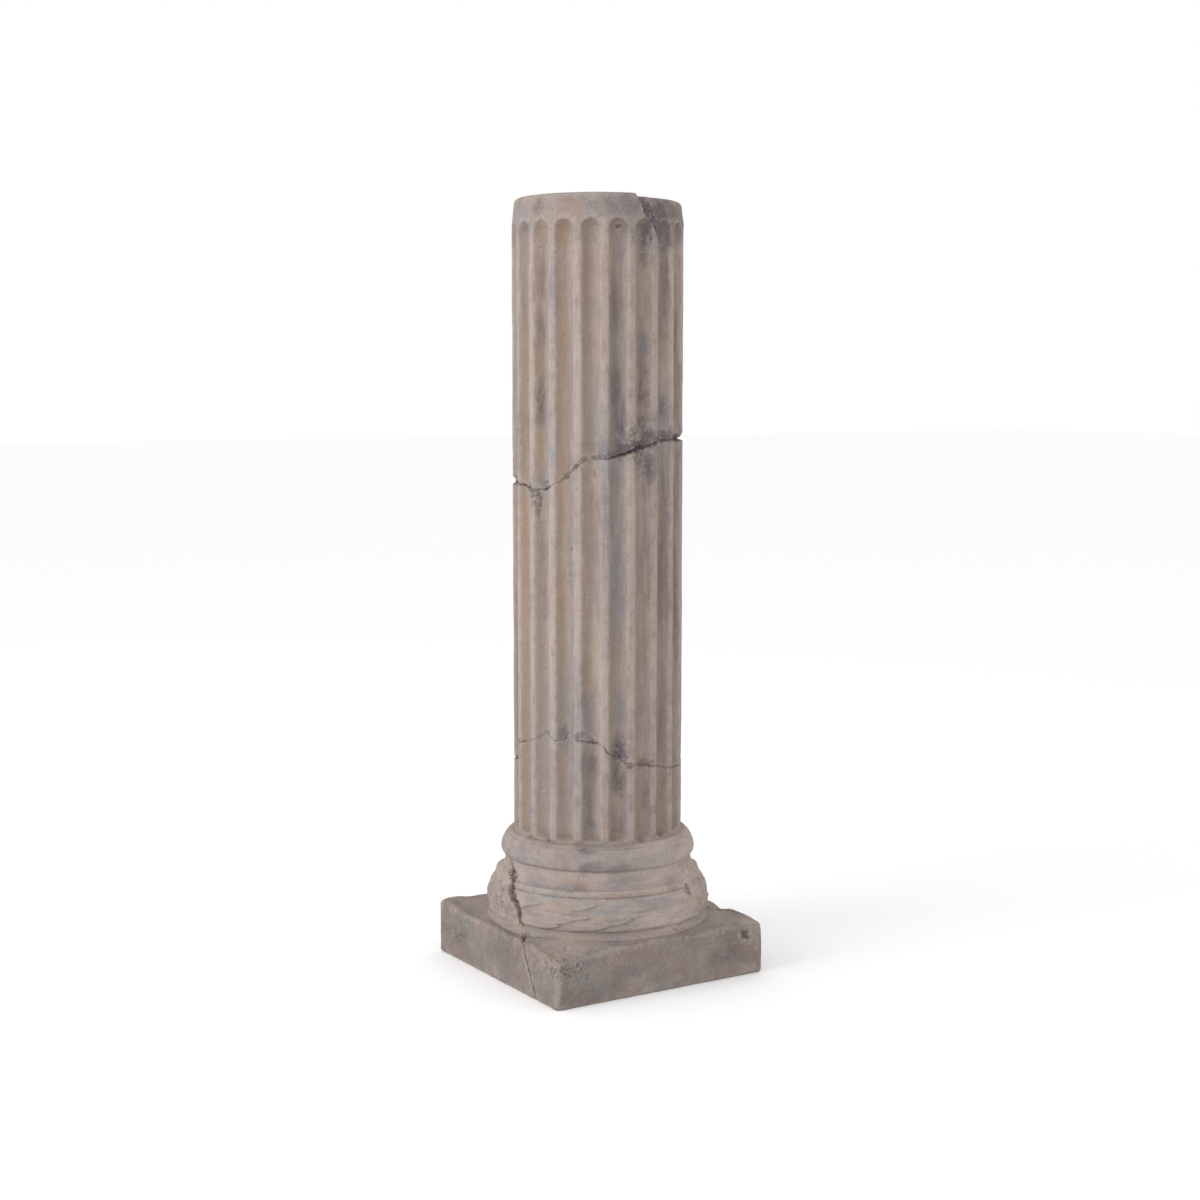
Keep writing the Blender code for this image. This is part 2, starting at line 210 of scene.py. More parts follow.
turned = [(0.0, TOP_Z)]
turned += run(turned[-1], (RIM_RADIUS - RIM_ROUND, TOP_Z), 4 * COARSE)
turned += quarter(turned[-1], (RIM_RADIUS, TOP_Z - RIM_ROUND), FINE, hollow=False)
turned += run(turned[-1], (SHAFT_RADIUS, NECK_Z + 0.004), FINE)
for height, spacing in ((0.955, FINE), (0.728, COARSE), (0.622, FINE), (0.345, COARSE),
                        (0.262, FINE), (0.215, COARSE), (SHAFT_Z + 0.0015, FINE)):
    turned += run(turned[-1], (SHAFT_RADIUS, height), spacing)
turned.append((SHAFT_RADIUS + 0.0015, SHAFT_Z))
turned += swell(turned[-1], (SHAFT_RADIUS + 0.0118, UPPER_TORUS_Z + 0.001), SHAFT_RADIUS + 0.016,
                FINE)
for out, height in ((0.0118, GROOVE_Z + 0.0008), (0.0131, GROOVE_Z - 0.0008), (0.0127, FILLET_Z)):
    turned += run(turned[-1], (SHAFT_RADIUS + out, height), FINE)
turned += quarter(turned[-1], (SHAFT_RADIUS + 0.0242, LIP_Z + 0.0092), FINE, hollow=True)
turned += quarter(turned[-1], (SHAFT_RADIUS + 0.0268, LIP_Z + 0.0062), FINE, hollow=False)
for out, height, spacing in ((0.0270, LIP_Z + 0.0018, FINE), (0.0258, LIP_Z + 0.0010, FINE / 2),
                             (0.0266, LIP_Z, FINE / 2)):
    turned += run(turned[-1], (SHAFT_RADIUS + out, height), spacing)
turned += swell(turned[-1], (SHAFT_RADIUS + 0.0330, LEAF_TORUS_Z), SHAFT_RADIUS + 0.0335, FINE)
turned += run(turned[-1], (SHAFT_RADIUS + 0.0334, LEAF_TORUS_Z - 0.0030), FINE)
turned += run(turned[-1], (SHAFT_RADIUS + 0.0331, LEAF_TORUS_Z - 0.0040), FINE / 2)
turned += quarter(turned[-1], (SHAFT_RADIUS + 0.0365, PLINTH_HEIGHT), FINE, hollow=True)
turned = [(radius - INCISED_DEPTH * math.exp(-((height - INCISED_Z) / 0.0008) ** 2)
           if abs(height - INCISED_Z) < 4 * MM else radius, height)
          for radius, height in turned]
print(len(turned), "stations on the turned part")

# %% Draw the plinth's part of the outline
PLINTH_EDGE = 0.006
UNDER_EDGE = 0.004
TOP_STATIONS = 44

stations = [(radius, radius, height, 0.0) for radius, height in turned]
foot_radius = turned[-1][0]
for step in range(1, TOP_STATIONS + 1):
    stations.append((foot_radius, HALF_PLINTH - PLINTH_EDGE, PLINTH_HEIGHT, step / TOP_STATIONS))
sides = [(HALF_PLINTH - PLINTH_EDGE, PLINTH_HEIGHT)]
sides += quarter(sides[-1], (HALF_PLINTH, PLINTH_HEIGHT - PLINTH_EDGE), FINE, hollow=False)
sides += run(sides[-1], (HALF_PLINTH, UNDER_EDGE), 1.4 * FINE)
sides += quarter(sides[-1], (HALF_PLINTH - UNDER_EDGE, 0), 1.4 * FINE, hollow=True)
sides += run(sides[-1], (0.0, 0.0), 4 * COARSE)
stations += [(half, half, height, 1.0) for half, height in sides[1:]]
stations = np.array(stations)
print(len(stations), "stations in all")

# %% Keep the outline as a mesh for the node tree
outline = bpy.data.meshes.new("cast_pillar")
outline.from_pydata(stations[:, :3].tolist(), [], [])
squareness = outline.attributes.new("squareness", "FLOAT", "POINT")
squareness.data.foreach_set("value", stations[:, 3])
pillar = bpy.data.objects.new("cast_pillar", outline)
bpy.context.scene.collection.objects.link(pillar)
print(len(outline.vertices), "points in", pillar.name)

# %% [markdown]
# ## Turning, fluting and squaring with Geometry Nodes
#
# A mould gives all of this at once, but its rule is simple: rings along the outline, twenty
# round-headed flutes cut into them, and a square block below. A Screw modifier and Booleans
# would leave long thin faces that can't take wear. So the tree lays out one even grid, looks up
# the outline for each row of it, and bends each row into its ring. The flute's depth is a
# parabola across, and the same parabola upwards gives it its round head.

# %% Begin a tree with named inputs
SOCKETS = {float: "NodeSocketFloat", int: "NodeSocketInt", bpy.types.Object: "NodeSocketObject"}


def new_tree(name, values):
    """A geometry tree with an input for each named value, and the node that gives them."""
    tree = bpy.data.node_groups.new(name, "GeometryNodeTree")
    for way in ("INPUT", "OUTPUT"):
        tree.interface.new_socket("Geometry", in_out=way, socket_type="NodeSocketGeometry")
    for label, value in values.items():
        kind = SOCKETS.get(type(value), SOCKETS[bpy.types.Object])
        tree.interface.new_socket(label, in_out="INPUT", socket_type=kind)
    return tree, tree.nodes.new("NodeGroupInput").outputs


def finish_tree(geometry, values):
    """Ends the tree in hand with real geometry and its material, and puts it on the pillar."""
    real = add("GeometryNodeRealizeInstances", [geometry])
    dressed = add("GeometryNodeSetMaterial", {"Geometry": real, "Material": stone})
    add("NodeGroupOutput", [dressed])
    modifier = pillar.modifiers.new(tree.name, "NODES")
    modifier.node_group = tree
    for socket in tree.interface.items_tree:
        if socket.in_out == "INPUT" and socket.name in values:
            modifier[socket.identifier] = values[socket.name]


# The stone's material: pigment washes, with painted light and painted shade among them
stone = bpy.data.materials.new("cast_stone_washes_and_painted_light")
print("stone:", stone.name)

# %% Lay out one grid and look up the outline for each row
turning = {
    "Columns": COLUMNS,
    "Flutes": 20,
    "Flute Depth": 0.0072,
    "Flute Share": 0.77,
    "Flute Turn": math.radians(-0.3),
    "Flute Foot": SHAFT_Z + 0.0004,
    "Flute Head": NECK_Z + 0.0065,
    "Sill Height": 0.0075,
    "Shaft Radius": SHAFT_RADIUS,
    "Corner Round": 0.005,
}
tree, given = new_tree("turned_and_fluted", turning)
rows = add("GeometryNodeAttributeDomainSize", [given["Geometry"]])
seam = add("ADD", [given["Columns"], 1.0])
grid = add("GeometryNodeMeshGrid", [1.0, 1.0, seam, rows])
here = add(POSITION)
on_grid = add(SPLIT, [here])
last_row = add("SUBTRACT", [rows, 1.0])
down = add("ADD", [on_grid.outputs["Y"], 0.5])
row = add("ROUND", [add("MULTIPLY", [down, last_row])])
station = add(
    "GeometryNodeSampleIndex", {"Geometry": given["Geometry"], "Value": here, "Index": row},
    data_type="FLOAT_VECTOR")
how_square = add("GeometryNodeInputNamedAttribute", ["squareness"])
square_share = add(
    "GeometryNodeSampleIndex", {"Geometry": given["Geometry"], "Value": how_square, "Index": row})
found = add(SPLIT, [station])
ring_radius, half_side, height = found.outputs
print("grid of", COLUMNS, "columns and", len(stations), "rows")

# %% Cut the flutes into the round rings
turn = add("MULTIPLY", [on_grid.outputs["X"], 2 * math.pi])
from_flute = add("SUBTRACT", [turn, given["Flute Turn"]])
pitch = add("DIVIDE", [2 * math.pi, given["Flutes"]])
phase = add("WRAP", [add("DIVIDE", [from_flute, pitch]), 0.5, -0.5])
half_share = add("MULTIPLY", [given["Flute Share"], 0.5])
across = add("DIVIDE", [phase, half_share])
half_turn = add("MULTIPLY", [half_share, pitch])
half_width = add("MULTIPLY", [half_turn, given["Shaft Radius"]])
arch_foot = add("SUBTRACT", [given["Flute Head"], half_width])
over_arch = add("SUBTRACT", [height, arch_foot])
in_arch = add("MAXIMUM", [add("DIVIDE", [over_arch, half_width]), 0.0])
across_squared = add("MULTIPLY", [across, across])
spread = add("MULTIPLY_ADD", [in_arch, in_arch, across_squared])
bowl = add("MAXIMUM", [add("SUBTRACT", [1.0, spread]), 0.0])
sill_top = add("ADD", [given["Flute Foot"], given["Sill Height"]])
above_sill = add(
    MAP, {"Value": height, "From Min": given["Flute Foot"], "From Max": sill_top}, **SMOOTH)
faded = add(MAP, {"Value": bowl, "From Max": 0.55, "To Min": -1.0, "To Max": 0.0}, **SMOOTH)
in_head = add("MULTIPLY", [in_arch, 1.4], use_clamp=True)
soft_head = add("MULTIPLY_ADD", [in_head, faded, 1.0])
ends = add("MULTIPLY", [above_sill, soft_head])
hollow = add("MULTIPLY", [bowl, ends])
# The flutes' left walls, for an ochre wash that also paints shade there
on_left = add(MAP, {"Value": across, "From Min": 0.75, "From Max": -0.75}, **SMOOTH)
soft_bowl = add("POWER", [bowl, 0.5])
left_wall = add("MULTIPLY", [add("MULTIPLY", [soft_bowl, on_left]), above_sill])
cut = add("MULTIPLY", [hollow, given["Flute Depth"]])
radius = add("SUBTRACT", [ring_radius, cut])
direction = add(JOIN, [add("COSINE", [turn]), add("SINE", [turn])])
round_ring = add(VECTOR, {0: direction, "Scale": radius}, operation="SCALE")
print(len(tree.nodes), "nodes up to the flutes")

# %% Bend the plinth's rows into squares with rounded corners
quarters = add("MULTIPLY", [on_grid.outputs["X"], 4.0])
side = add("ROUND", [quarters])
off_middle = add("SUBTRACT", [quarters, side])
along = add("MULTIPLY", [off_middle, 2.0])
side_turn = add("MULTIPLY", [side, math.pi / 2])
on_side = add(
    "ShaderNodeVectorRotate", {"Vector": add(JOIN, [1.0, along]), "Angle": side_turn},
    rotation_type="Z_AXIS")
sharp_square = add(VECTOR, {0: on_side, "Scale": half_side}, operation="SCALE")
corner = add("MINIMUM", [given["Corner Round"], half_side])
reach = add("SUBTRACT", [half_side, corner])
high = add(JOIN, [reach, reach, reach])
low = add(VECTOR, [high, (-1.0, -1.0, -1.0)], operation="MULTIPLY")
inner = add(
    VECTOR, [add(VECTOR, [sharp_square, low], operation="MAXIMUM"), high], operation="MINIMUM")
outwards = add(
    VECTOR, [add(VECTOR, [sharp_square, inner], operation="SUBTRACT")], operation="NORMALIZE")
square_ring = add(VECTOR, [outwards, add(JOIN, [corner] * 3), inner], operation="MULTIPLY_ADD")
print(len(tree.nodes), "nodes up to the plinth")

# %% Mix round and square, close the seam and the poles
apart = add(VECTOR, [square_ring, round_ring], operation="SUBTRACT")
mixed = add(VECTOR, [apart, add(JOIN, [square_share] * 3), round_ring], operation="MULTIPLY_ADD")
lifted = add(VECTOR, [mixed, add(JOIN, [0.0, 0.0, height])], operation="ADD")
skin = grid
for name, value in (("hollow", hollow), ("left_wall", left_wall), ("squareness", square_share)):
    skin = add(STORE, {"Geometry": skin, "Name": name, "Value": value})
bent = add("GeometryNodeSetPosition", {"Geometry": skin, "Position": lifted})
closed = add("GeometryNodeMergeByDistance", {"Geometry": bent, "Distance": 0.00002})
facing_out = add("GeometryNodeFlipFaces", [closed])
print(len(tree.nodes), "nodes in", tree.name)
finish_tree(facing_out, turning)

# %% [markdown]
# ## The laurel leaves on the lower torus
#
# The lower torus has long laurel leaves that overlap like scales, rubbed almost flat. Separate
# leaf meshes would leave loose shells in the stone. So the leaves are laid out flat, as a strip
# that matches the unrolled torus, and each point of the skin looks down on that strip with a
# ray: where it meets a leaf, the stone stands out by the leaf's height.

# %% Make one leaf, flat and unrolled
LEAF_LENGTH = 0.112
LEAF_WIDTH = 0.021
LEAF_PROUD = 0.0042
RAY_FROM = 0.02

leaf_points, leaf_faces = [], []
LEAF_ALONG = np.linspace(-1, 1, 13)
LEAF_ACROSS = (-1.0, -0.55, -0.14, 0.0, 0.14, 0.55, 1.0)
for share in LEAF_ALONG:
    width = LEAF_WIDTH / 2 * (max(1 - share, 0.0) ** 0.8) * (max(1 + share, 0.0) ** 0.5)
    rise = 0.30 + 0.70 * (share + 1) / 2
    for over in LEAF_ACROSS:
        crown = 0.72 - 0.22 * over ** 2 - 0.28 * over - (0.16 if over == 0 else 0)
        leaf_points.append((share * LEAF_LENGTH / 2, over * width, LEAF_PROUD * rise * crown))
for step in range(len(LEAF_ALONG) - 1):
    for over in range(len(LEAF_ACROSS) - 1):
        first = step * len(LEAF_ACROSS) + over
        after = first + len(LEAF_ACROSS)
        leaf_faces.append((first, after, after + 1, first + 1))
leaf_mesh = bpy.data.meshes.new("laurel_leaf")
leaf_mesh.from_pydata(leaf_points, [], leaf_faces)
leaf = bpy.data.objects.new("laurel_leaf", leaf_mesh)
print("one leaf has", len(leaf_faces), "faces")

# %% Lay the leaves out in staggered rows
laurel = {
    "Leaf": leaf,
    "Leaves in a Row": 12,
    "Rows": 4,
    "Torus Foot": LEAF_TORUS_Z,
    "Torus Height": LEAF_TORUS_HEIGHT,
    "Torus Radius": SHAFT_RADIUS + 0.0335,
    "Tilt": math.radians(-1),
    "Tilt Spread": math.radians(5),
    "Unevenness": 0.16,
    "Seed": 4,
}
tree, given = new_tree("laurel_leaves", laurel)
around = add("MULTIPLY", [given["Torus Radius"], 2 * math.pi])
pitch = add("DIVIDE", [around, given["Leaves in a Row"]])
in_row = add("ADD", [given["Leaves in a Row"], 3.0])
count = add("MULTIPLY", [in_row, given["Rows"]])
index = add("GeometryNodeInputIndex")
row = add("FLOOR", [add("DIVIDE", [index, in_row])])
place_in_row = add("MODULO", [index, in_row])
stagger = add("DIVIDE", [row, given["Rows"]])
first = add("MULTIPLY", [in_row, -0.5])
steps = add("ADD", [add("ADD", [place_in_row, stagger]), first])
gaps = add("ADD", [given["Rows"], 1.0])
row_gap = add("DIVIDE", [given["Torus Height"], gaps])
row_count = add("ADD", [row, 1.0])
row_height = add("MULTIPLY_ADD", [row_count, row_gap, given["Torus Foot"]])
spot = add(JOIN, [add("MULTIPLY", [steps, pitch]), row_height])
places = add("GeometryNodePoints", {"Count": count, "Position": spot})
least = add("SUBTRACT", [1.0, given["Unevenness"]])
most = add("ADD", [1.0, given["Unevenness"]])
size = add("FunctionNodeRandomValue", {"Min": least, "Max": most, "Seed": given["Seed"]})
flattest = add("SUBTRACT", [given["Tilt"], given["Tilt Spread"]])
steepest = add("ADD", [given["Tilt"], given["Tilt Spread"]])
lean = add(
    "FunctionNodeRandomValue", {"Min": flattest, "Max": steepest, "Seed": add("ADD", [given["Seed"],
    1.0])})
tilt = add(JOIN, [0.0, 0.0, lean.outputs[1]])
shape = add("GeometryNodeObjectInfo", {"Object": given["Leaf"]})
leaves = add(
    "GeometryNodeInstanceOnPoints", {"Points": places, "Instance": shape.outputs["Geometry"],
    "Rotation": tilt, "Scale": size.outputs[1]})
strip = add("GeometryNodeRealizeInstances", [leaves])
print(laurel["Rows"], "rows of", laurel["Leaves in a Row"], "leaves")

# %% Raise the stone to the leaves
here = add(POSITION)
parts = add(SPLIT, [here])
angle = add("ARCTAN2", [parts.outputs["Y"], parts.outputs["X"]])
unrolled = add(
    JOIN, [add("MULTIPLY", [angle, given["Torus Radius"]]), parts.outputs["Z"], RAY_FROM])
ray = add(
    "GeometryNodeRaycast", {"Target Geometry": strip, "Source Position": unrolled,
    "Ray Direction": (0.0, 0.0, -1.0), "Ray Length": RAY_FROM})
relief = add("SUBTRACT", [RAY_FROM, ray.outputs["Hit Distance"]])
met = add("MULTIPLY", [relief, ray.outputs["Is Hit"]])
torus_top = add("ADD", [given["Torus Foot"], given["Torus Height"]])
over_foot = add(
    MAP, {"Value": parts.outputs["Z"], "From Min": given["Torus Foot"], "From Max": add("ADD",
    [given["Torus Foot"], 0.003])})
under_top = add(
    MAP, {"Value": parts.outputs["Z"], "From Min": torus_top, "From Max": add("SUBTRACT",
    [torus_top, 0.002])})
rubbed = add(
    MAP, {"Value": add(NOISE, {"Scale": 1 / 0.045, "Detail": 2.0}), "From Min": 0.35,
    "From Max": 0.65, "To Min": 1.0, "To Max": 0.5})
band = add("MULTIPLY", [over_foot, under_top])
kept = add("MULTIPLY", [band, rubbed])
proud = add("MULTIPLY", [met, kept])
flat = add(VECTOR, [here, (1.0, 1.0, 0.0)], operation="MULTIPLY")
outward = add(VECTOR, [flat], operation="NORMALIZE")
away = add(VECTOR, {0: outward, "Scale": proud}, operation="SCALE")
raised = add("GeometryNodeSetPosition", {"Geometry": given["Geometry"], "Offset": away})
print(len(tree.nodes), "nodes in", tree.name)
finish_tree(raised, laurel)

# %% [markdown]
# ## Fields of wear
#
# Weather works at several sizes at once: broad dishing, lumps, pitting like coarse sand, and
# single air holes where a bubble sat against the mould. A tree measures these as named values on
# every point, for the carving below. The wobble fields keep the cracks from running straight.

# %% Store noise of several sizes on the skin
wear_sizes = {"broad": 0.075, "lumps": 0.020, "knobs": 0.0085, "grit": 0.0035,
              "wobble_a": 0.016, "wobble_b": 0.016, "fray_a": 0.0048, "fray_b": 0.0048}
fields = {f"{name} size": size for name, size in wear_sizes.items()} | {"Bubble Size": 0.011}
tree, given = new_tree("fields_of_wear", fields)
here = add(POSITION)
skin = given["Geometry"]
for number, name in enumerate(wear_sizes):
    moved = add(VECTOR, [here, (3.1 * number, 1.7 * number, 0.9)], operation="ADD")
    scale = add("DIVIDE", [1.0, given[f"{name} size"]])
    noise = add(NOISE, {"Vector": moved, "Scale": scale, "Detail": 2.0, "Roughness": 0.55})
    centred = add(
        MAP, {"Value": noise, "From Min": 0.25, "From Max": 0.75, "To Min": -1.0, "To Max": 1.0})
    skin = add(STORE, {"Geometry": skin, "Name": name, "Value": centred})
bubbles = add(
    "ShaderNodeTexVoronoi", {"Vector": here, "Scale": add("DIVIDE", [1.0, given["Bubble Size"]])})
skin = add(STORE, {"Geometry": skin, "Name": "bubble", "Value": bubbles})
print(len(wear_sizes) + 1, "fields of wear")
finish_tree(skin, fields)

# %% Make the result a plain mesh
def made_plain():
    """The pillar's mesh with its modifiers applied and taken off."""
    graph = bpy.context.evaluated_depsgraph_get()
    pillar.data = bpy.data.meshes.new_from_object(pillar.evaluated_get(graph))
    pillar.modifiers.clear()
    return pillar.data


def read_values(mesh, name):
    """A named value of every point of a mesh, as an array."""
    values = np.empty(len(mesh.vertices), np.float32)
    mesh.attributes[name].data.foreach_get("value", values)
    return values.astype(float)


def read_vectors(points, name):
    """A vector of every point, as an array with three columns."""
    vectors = np.empty(len(points) * 3, np.float32)
    points.foreach_get(name, vectors)
    return vectors.reshape(-1, 3).astype(float)


skin_mesh = made_plain()
point_count = len(skin_mesh.vertices)
place = read_vectors(skin_mesh.vertices, "co")
normal = read_vectors(skin_mesh.vertices, "normal")
wear = {name: read_values(skin_mesh, name) for name in (*wear_sizes, "bubble", "squareness")}
print(point_count, "points,", "top normal", normal[place[:, 2].argmax()].round(2))

# %% [markdown]
# ## Carving the wear
#
# The rest has no rule: it is what happened to this one pillar. It is carved by moving points.
# Places on the shaft are given as an angle round the axis in degrees and a height, as if the
# surface were unrolled. The front is near -120 degrees.


# %% Smooth steps and the unrolled place of each point
def ease(value, start, end):
    """0 before the start, 1 after the end, and smooth in between."""
    share = np.clip((value - start) / (end - start), 0, 1)
    return share * share * (3 - 2 * share)


degrees = np.degrees(np.arctan2(place[:, 1], place[:, 0]))
degrees = np.where(degrees > 90, degrees - 360, degrees)
level = place[:, 2].copy()
across = np.hypot(place[:, 0], place[:, 1])
radial = place * (1, 1, 0) / np.maximum(across, 1e-6)[:, None]
on_shaft = (level > SHAFT_Z + 0.0005) & (across > SHAFT_RADIUS - 0.012)
on_plinth = wear["squareness"] > 0
under = level < 0.0002
print(int(on_shaft.sum()), "points on the shaft,", int(on_plinth.sum()), "on the plinth")

# %% [markdown]
# ### The worn plinth and the lumps on the mouldings
#
# The plinth's top edges are rubbed round, and its front corner has lost 18 mm. Beside the base
# crack and at the right, the crisp mouldings have crumbled into one bulging lump.

# %% Wear the plinth's top edges and corners down
WORN_SPOTS = (
    (-1.0, -1.0, 0.090, 0.018),
    (-1.0, -0.25, 0.080, 0.006),
    (-1.0, 0.45, 0.060, 0.005),
    (-0.88, 0.97, 0.030, -0.0025),
    (-0.30, -1.0, 0.080, 0.004),
    (0.35, -1.0, 0.080, 0.005),
    (1.0, -1.0, 0.030, 0.003),
    (1.0, -0.45, 0.024, 0.005),
    (1.0, -0.05, 0.030, 0.004),
    (1.0, 0.45, 0.060, 0.005),
    (0.2, 1.0, 0.070, 0.005),
)
WEAR_LEAN = 0.45
before = place.copy()
rough = np.zeros(point_count)
for share_x, share_y, spot_radius, depth in WORN_SPOTS:
    spot = np.array((share_x * HALF_PLINTH, share_y * HALF_PLINTH, PLINTH_HEIGHT))
    far = np.linalg.norm(before - spot, axis=1)
    share = np.clip(1 - (far / spot_radius) ** 2, 0, 1) ** 2 * on_plinth
    rough = np.maximum(rough, share * depth / 0.018)
    lean = np.array((WEAR_LEAN * share_x * (abs(share_x) == 1),
                     WEAR_LEAN * share_y * (abs(share_y) == 1), 1.0))
    lean /= np.linalg.norm(lean)
    place -= lean * (depth * share * before[:, 2] / PLINTH_HEIGHT)[:, None]
print("deepest wear", round(float((before - place).max()) / MM, 1), "mm")

# %% Crumble the mouldings left of the base crack and at the right
LUMP_LEVELS = (0.0715, 0.085, 0.095, 0.106, 0.113, 0.120, 0.130, 0.139, 0.146, 0.1515)
LUMP_RADII = (0.1462, 0.1478, 0.1488, 0.1488, 0.1470, 0.1430, 0.1350, 0.1270, 0.1242, 0.1237)
CRACK_LEVELS = (0.0715, 0.101, 0.112, 0.119, 0.135, 0.1425, 0.151)
CRACK_DEGREES = (-165, -166, -171, -175, -179, -187, -191)
crack_turn = np.interp(level, CRACK_LEVELS, CRACK_DEGREES)
left = ease(crack_turn - degrees, 0, 3) * ease(degrees, -222, -208)
right = ease(degrees + 5 * wear["lumps"], -78, -54) * ease(degrees, -18, -30)
crumbled = np.maximum(left, right) * ease(level, 0.074, 0.084) * ease(level, 0.1525, 0.1495)
crumbled *= ~on_plinth
target = np.interp(level, LUMP_LEVELS, LUMP_RADII)
target += crumbled * (2.2 * wear["lumps"] + 0.8 * wear["knobs"]) * MM
now = np.hypot(place[:, 0], place[:, 1])
place += radial * ((target - now) * crumbled)[:, None]
rough = np.maximum(rough, 0.6 * crumbled)
print("crumbled over", int((crumbled > 0.5).sum()), "points")

# %% Give the whole skin its uneven surface
amount = 0.45 * wear["broad"] + 0.18 * wear["lumps"] + 0.06 * wear["knobs"]
coarse = 0.8 * wear["lumps"] + 1.0 * wear["knobs"] + 0.7 * wear["grit"]
holes = ease(0.26 - wear["bubble"], 0, 0.16) * (wear["lumps"] > 0.5) * (rough < 0.2)
amount = amount * np.where(on_plinth, 1.6, 1.0) + rough * coarse - 0.8 * holes
place += normal * (amount * MM * ~under)[:, None]
print("air holes reach", int((holes > 0.5).sum()), "points")

# %% [markdown]
# ### The cracks
#
# Two cracks run right round the shaft, one leaves the rim, and one runs down the mouldings and
# the plinth. They were cast in, or filled again, so they are grooves a few millimetres deep: a
# dark line with a broken, lighter lip below it. Each is a list of stations: the angle, the
# height, the width and the depth. A station's distance is measured on the unrolled skin.

# %% The stations of the cracks on the shaft
TOP_CRACK = (
    (-97, 1.026, 1.6, 1.4), (-93, 1.013, 1.2, 1.0), (-89, 1.004, 1.0, 0.8),
    (-85, 0.989, 1.0, 0.8), (-80, 0.980, 1.4, 1.2), (-76, 0.972, 1.4, 1.2),
    (-72, 0.959, 1.2, 1.0), (-70, 0.946, 1.0, 0.5),
)
MIDDLE_CRACK = (
    (-200, 0.6565, 12.0, 7.5), (-190, 0.655, 7.0, 5.0), (-179, 0.6485, 2.6, 2.5),
    (-171, 0.6455, 2.5, 2.0), (-163, 0.6485, 2.6, 2.6), (-156, 0.651, 2.2, 2.4),
    (-150, 0.658, 1.2, 0.9),
    (-143, 0.667, 1.4, 0.9), (-137.5, 0.676, 1.3, 0.8), (-132, 0.684, 1.8, 1.2),
    (-127, 0.687, 1.2, 0.6), (-120, 0.688, 1.4, 0.7), (-114, 0.688, 2.4, 1.4),
    (-107, 0.693, 6.0, 3.4), (-100, 0.697, 7.0, 3.8), (-93, 0.700, 6.5, 3.4),
    (-86, 0.704, 6.0, 3.0), (-80, 0.708, 4.0, 2.4), (-68, 0.711, 3.0, 2.0),
    (-57, 0.712, 5.0, 3.4), (-47, 0.713, 15.0, 7.0), (-40, 0.713, 21.0, 9.5),
    (-31, 0.713, 21.0, 9.5), (-22, 0.712, 15.0, 6.5), (-14, 0.7075, 2.5, 2.0),
    (15, 0.6945, 2.2, 2.2), (55, 0.6995, 1.6, 1.6),
    (95, 0.6815, 2.2, 2.2), (132, 0.6705, 3.0, 2.5),
    (146, 0.660, 10.0, 7.0), (160, 0.6565, 12.0, 7.5),
)
LOWER_CRACK = (
    (-204, 0.2855, 3.0, 4.0), (-198, 0.302, 3.0, 4.0), (-192, 0.311, 2.5, 3.0),
    (-181, 0.3145, 1.8, 1.8), (-170, 0.3205, 1.3, 1.2), (-163, 0.329, 1.0, 0.8),
    (-158, 0.330, 1.2, 1.0), (-151, 0.322, 1.6, 1.4), (-147, 0.324, 1.8, 1.6),
    (-141, 0.335, 1.2, 1.0), (-138, 0.3265, 1.5, 1.3), (-128, 0.322, 2.4, 2.2),
    (-120, 0.319, 2.2, 2.2), (-113, 0.306, 1.5, 1.4), (-107, 0.303, 2.4, 1.8),
    (-100, 0.2876, 1.8, 1.5), (-94, 0.292, 1.3, 1.2), (-88, 0.2885, 2.2, 2.0),
    (-82, 0.287, 1.8, 1.8), (-74, 0.2845, 1.6, 1.6), (-63, 0.279, 1.6, 1.6),
    (-55, 0.275, 2.2, 2.4), (-40, 0.280, 3.5, 4.0), (-32, 0.283, 2.6, 2.8),
    (0, 0.2965, 1.6, 1.6), (45, 0.2885, 1.4, 1.4), (90, 0.3045, 1.8, 1.8),
    (130, 0.2935, 1.4, 1.4), (156, 0.2855, 3.0, 4.0),
)
print(len(TOP_CRACK), len(MIDDLE_CRACK), len(LOWER_CRACK), "stations")


# %% Measure how far each point is from a crack
def crack_line(stations, radius):
    """Stations as points in space, close enough together to follow the round."""
    fine = []
    for first, second in zip(stations, stations[1:]):
        steps = max(1, math.ceil(abs(second[0] - first[0]) / 4))
        fine += [np.interp(step / steps, (0, 1), pair) for step in range(steps)
                 for pair in zip(first, second)]
    fine = np.array(fine + list(stations[-1])).reshape(-1, 4)
    turns = np.radians(fine[:, 0])
    points = np.stack((radius * np.cos(turns), radius * np.sin(turns), fine[:, 1]), axis=1)
    return points, fine[:, 2], fine[:, 3]


def from_crack(points, line, widths, depths):
    """Distance to the line, the width and depth there, and how far above it each point is."""
    nearest = np.full(len(points), 9.0)
    width, depth, above = np.ones(len(points)), np.zeros(len(points)), np.zeros(len(points))
    for step in range(len(line) - 1):
        start, run_to = line[step], line[step + 1] - line[step]
        share = np.clip((points - start) @ run_to / (run_to @ run_to), 0, 1)
        off = points - start - share[:, None] * run_to
        far = np.linalg.norm(off, axis=1)
        closer = far < nearest
        nearest[closer] = far[closer]
        above[closer] = off[closer, 2]
        width[closer] = (widths[step] + share * (widths[step + 1] - widths[step]))[closer]
        depth[closer] = (depths[step] + share * (depths[step + 1] - depths[step]))[closer]
    return nearest / MM, width, depth, above / MM


print(len(crack_line(TOP_CRACK, SHAFT_RADIUS)[0]), "points along the top crack")


# %% Cut a crack with its broken lip
crack = np.zeros(point_count)
tangent = np.stack((-radial[:, 1], radial[:, 0], np.zeros(point_count)), axis=1)
wobble = tangent * (1.6 * wear["wobble_a"] + 1.3 * wear["fray_a"])[:, None] * MM
wobble[:, 2] += (1.6 * wear["wobble_b"] + 1.4 * wear["fray_b"]) * MM


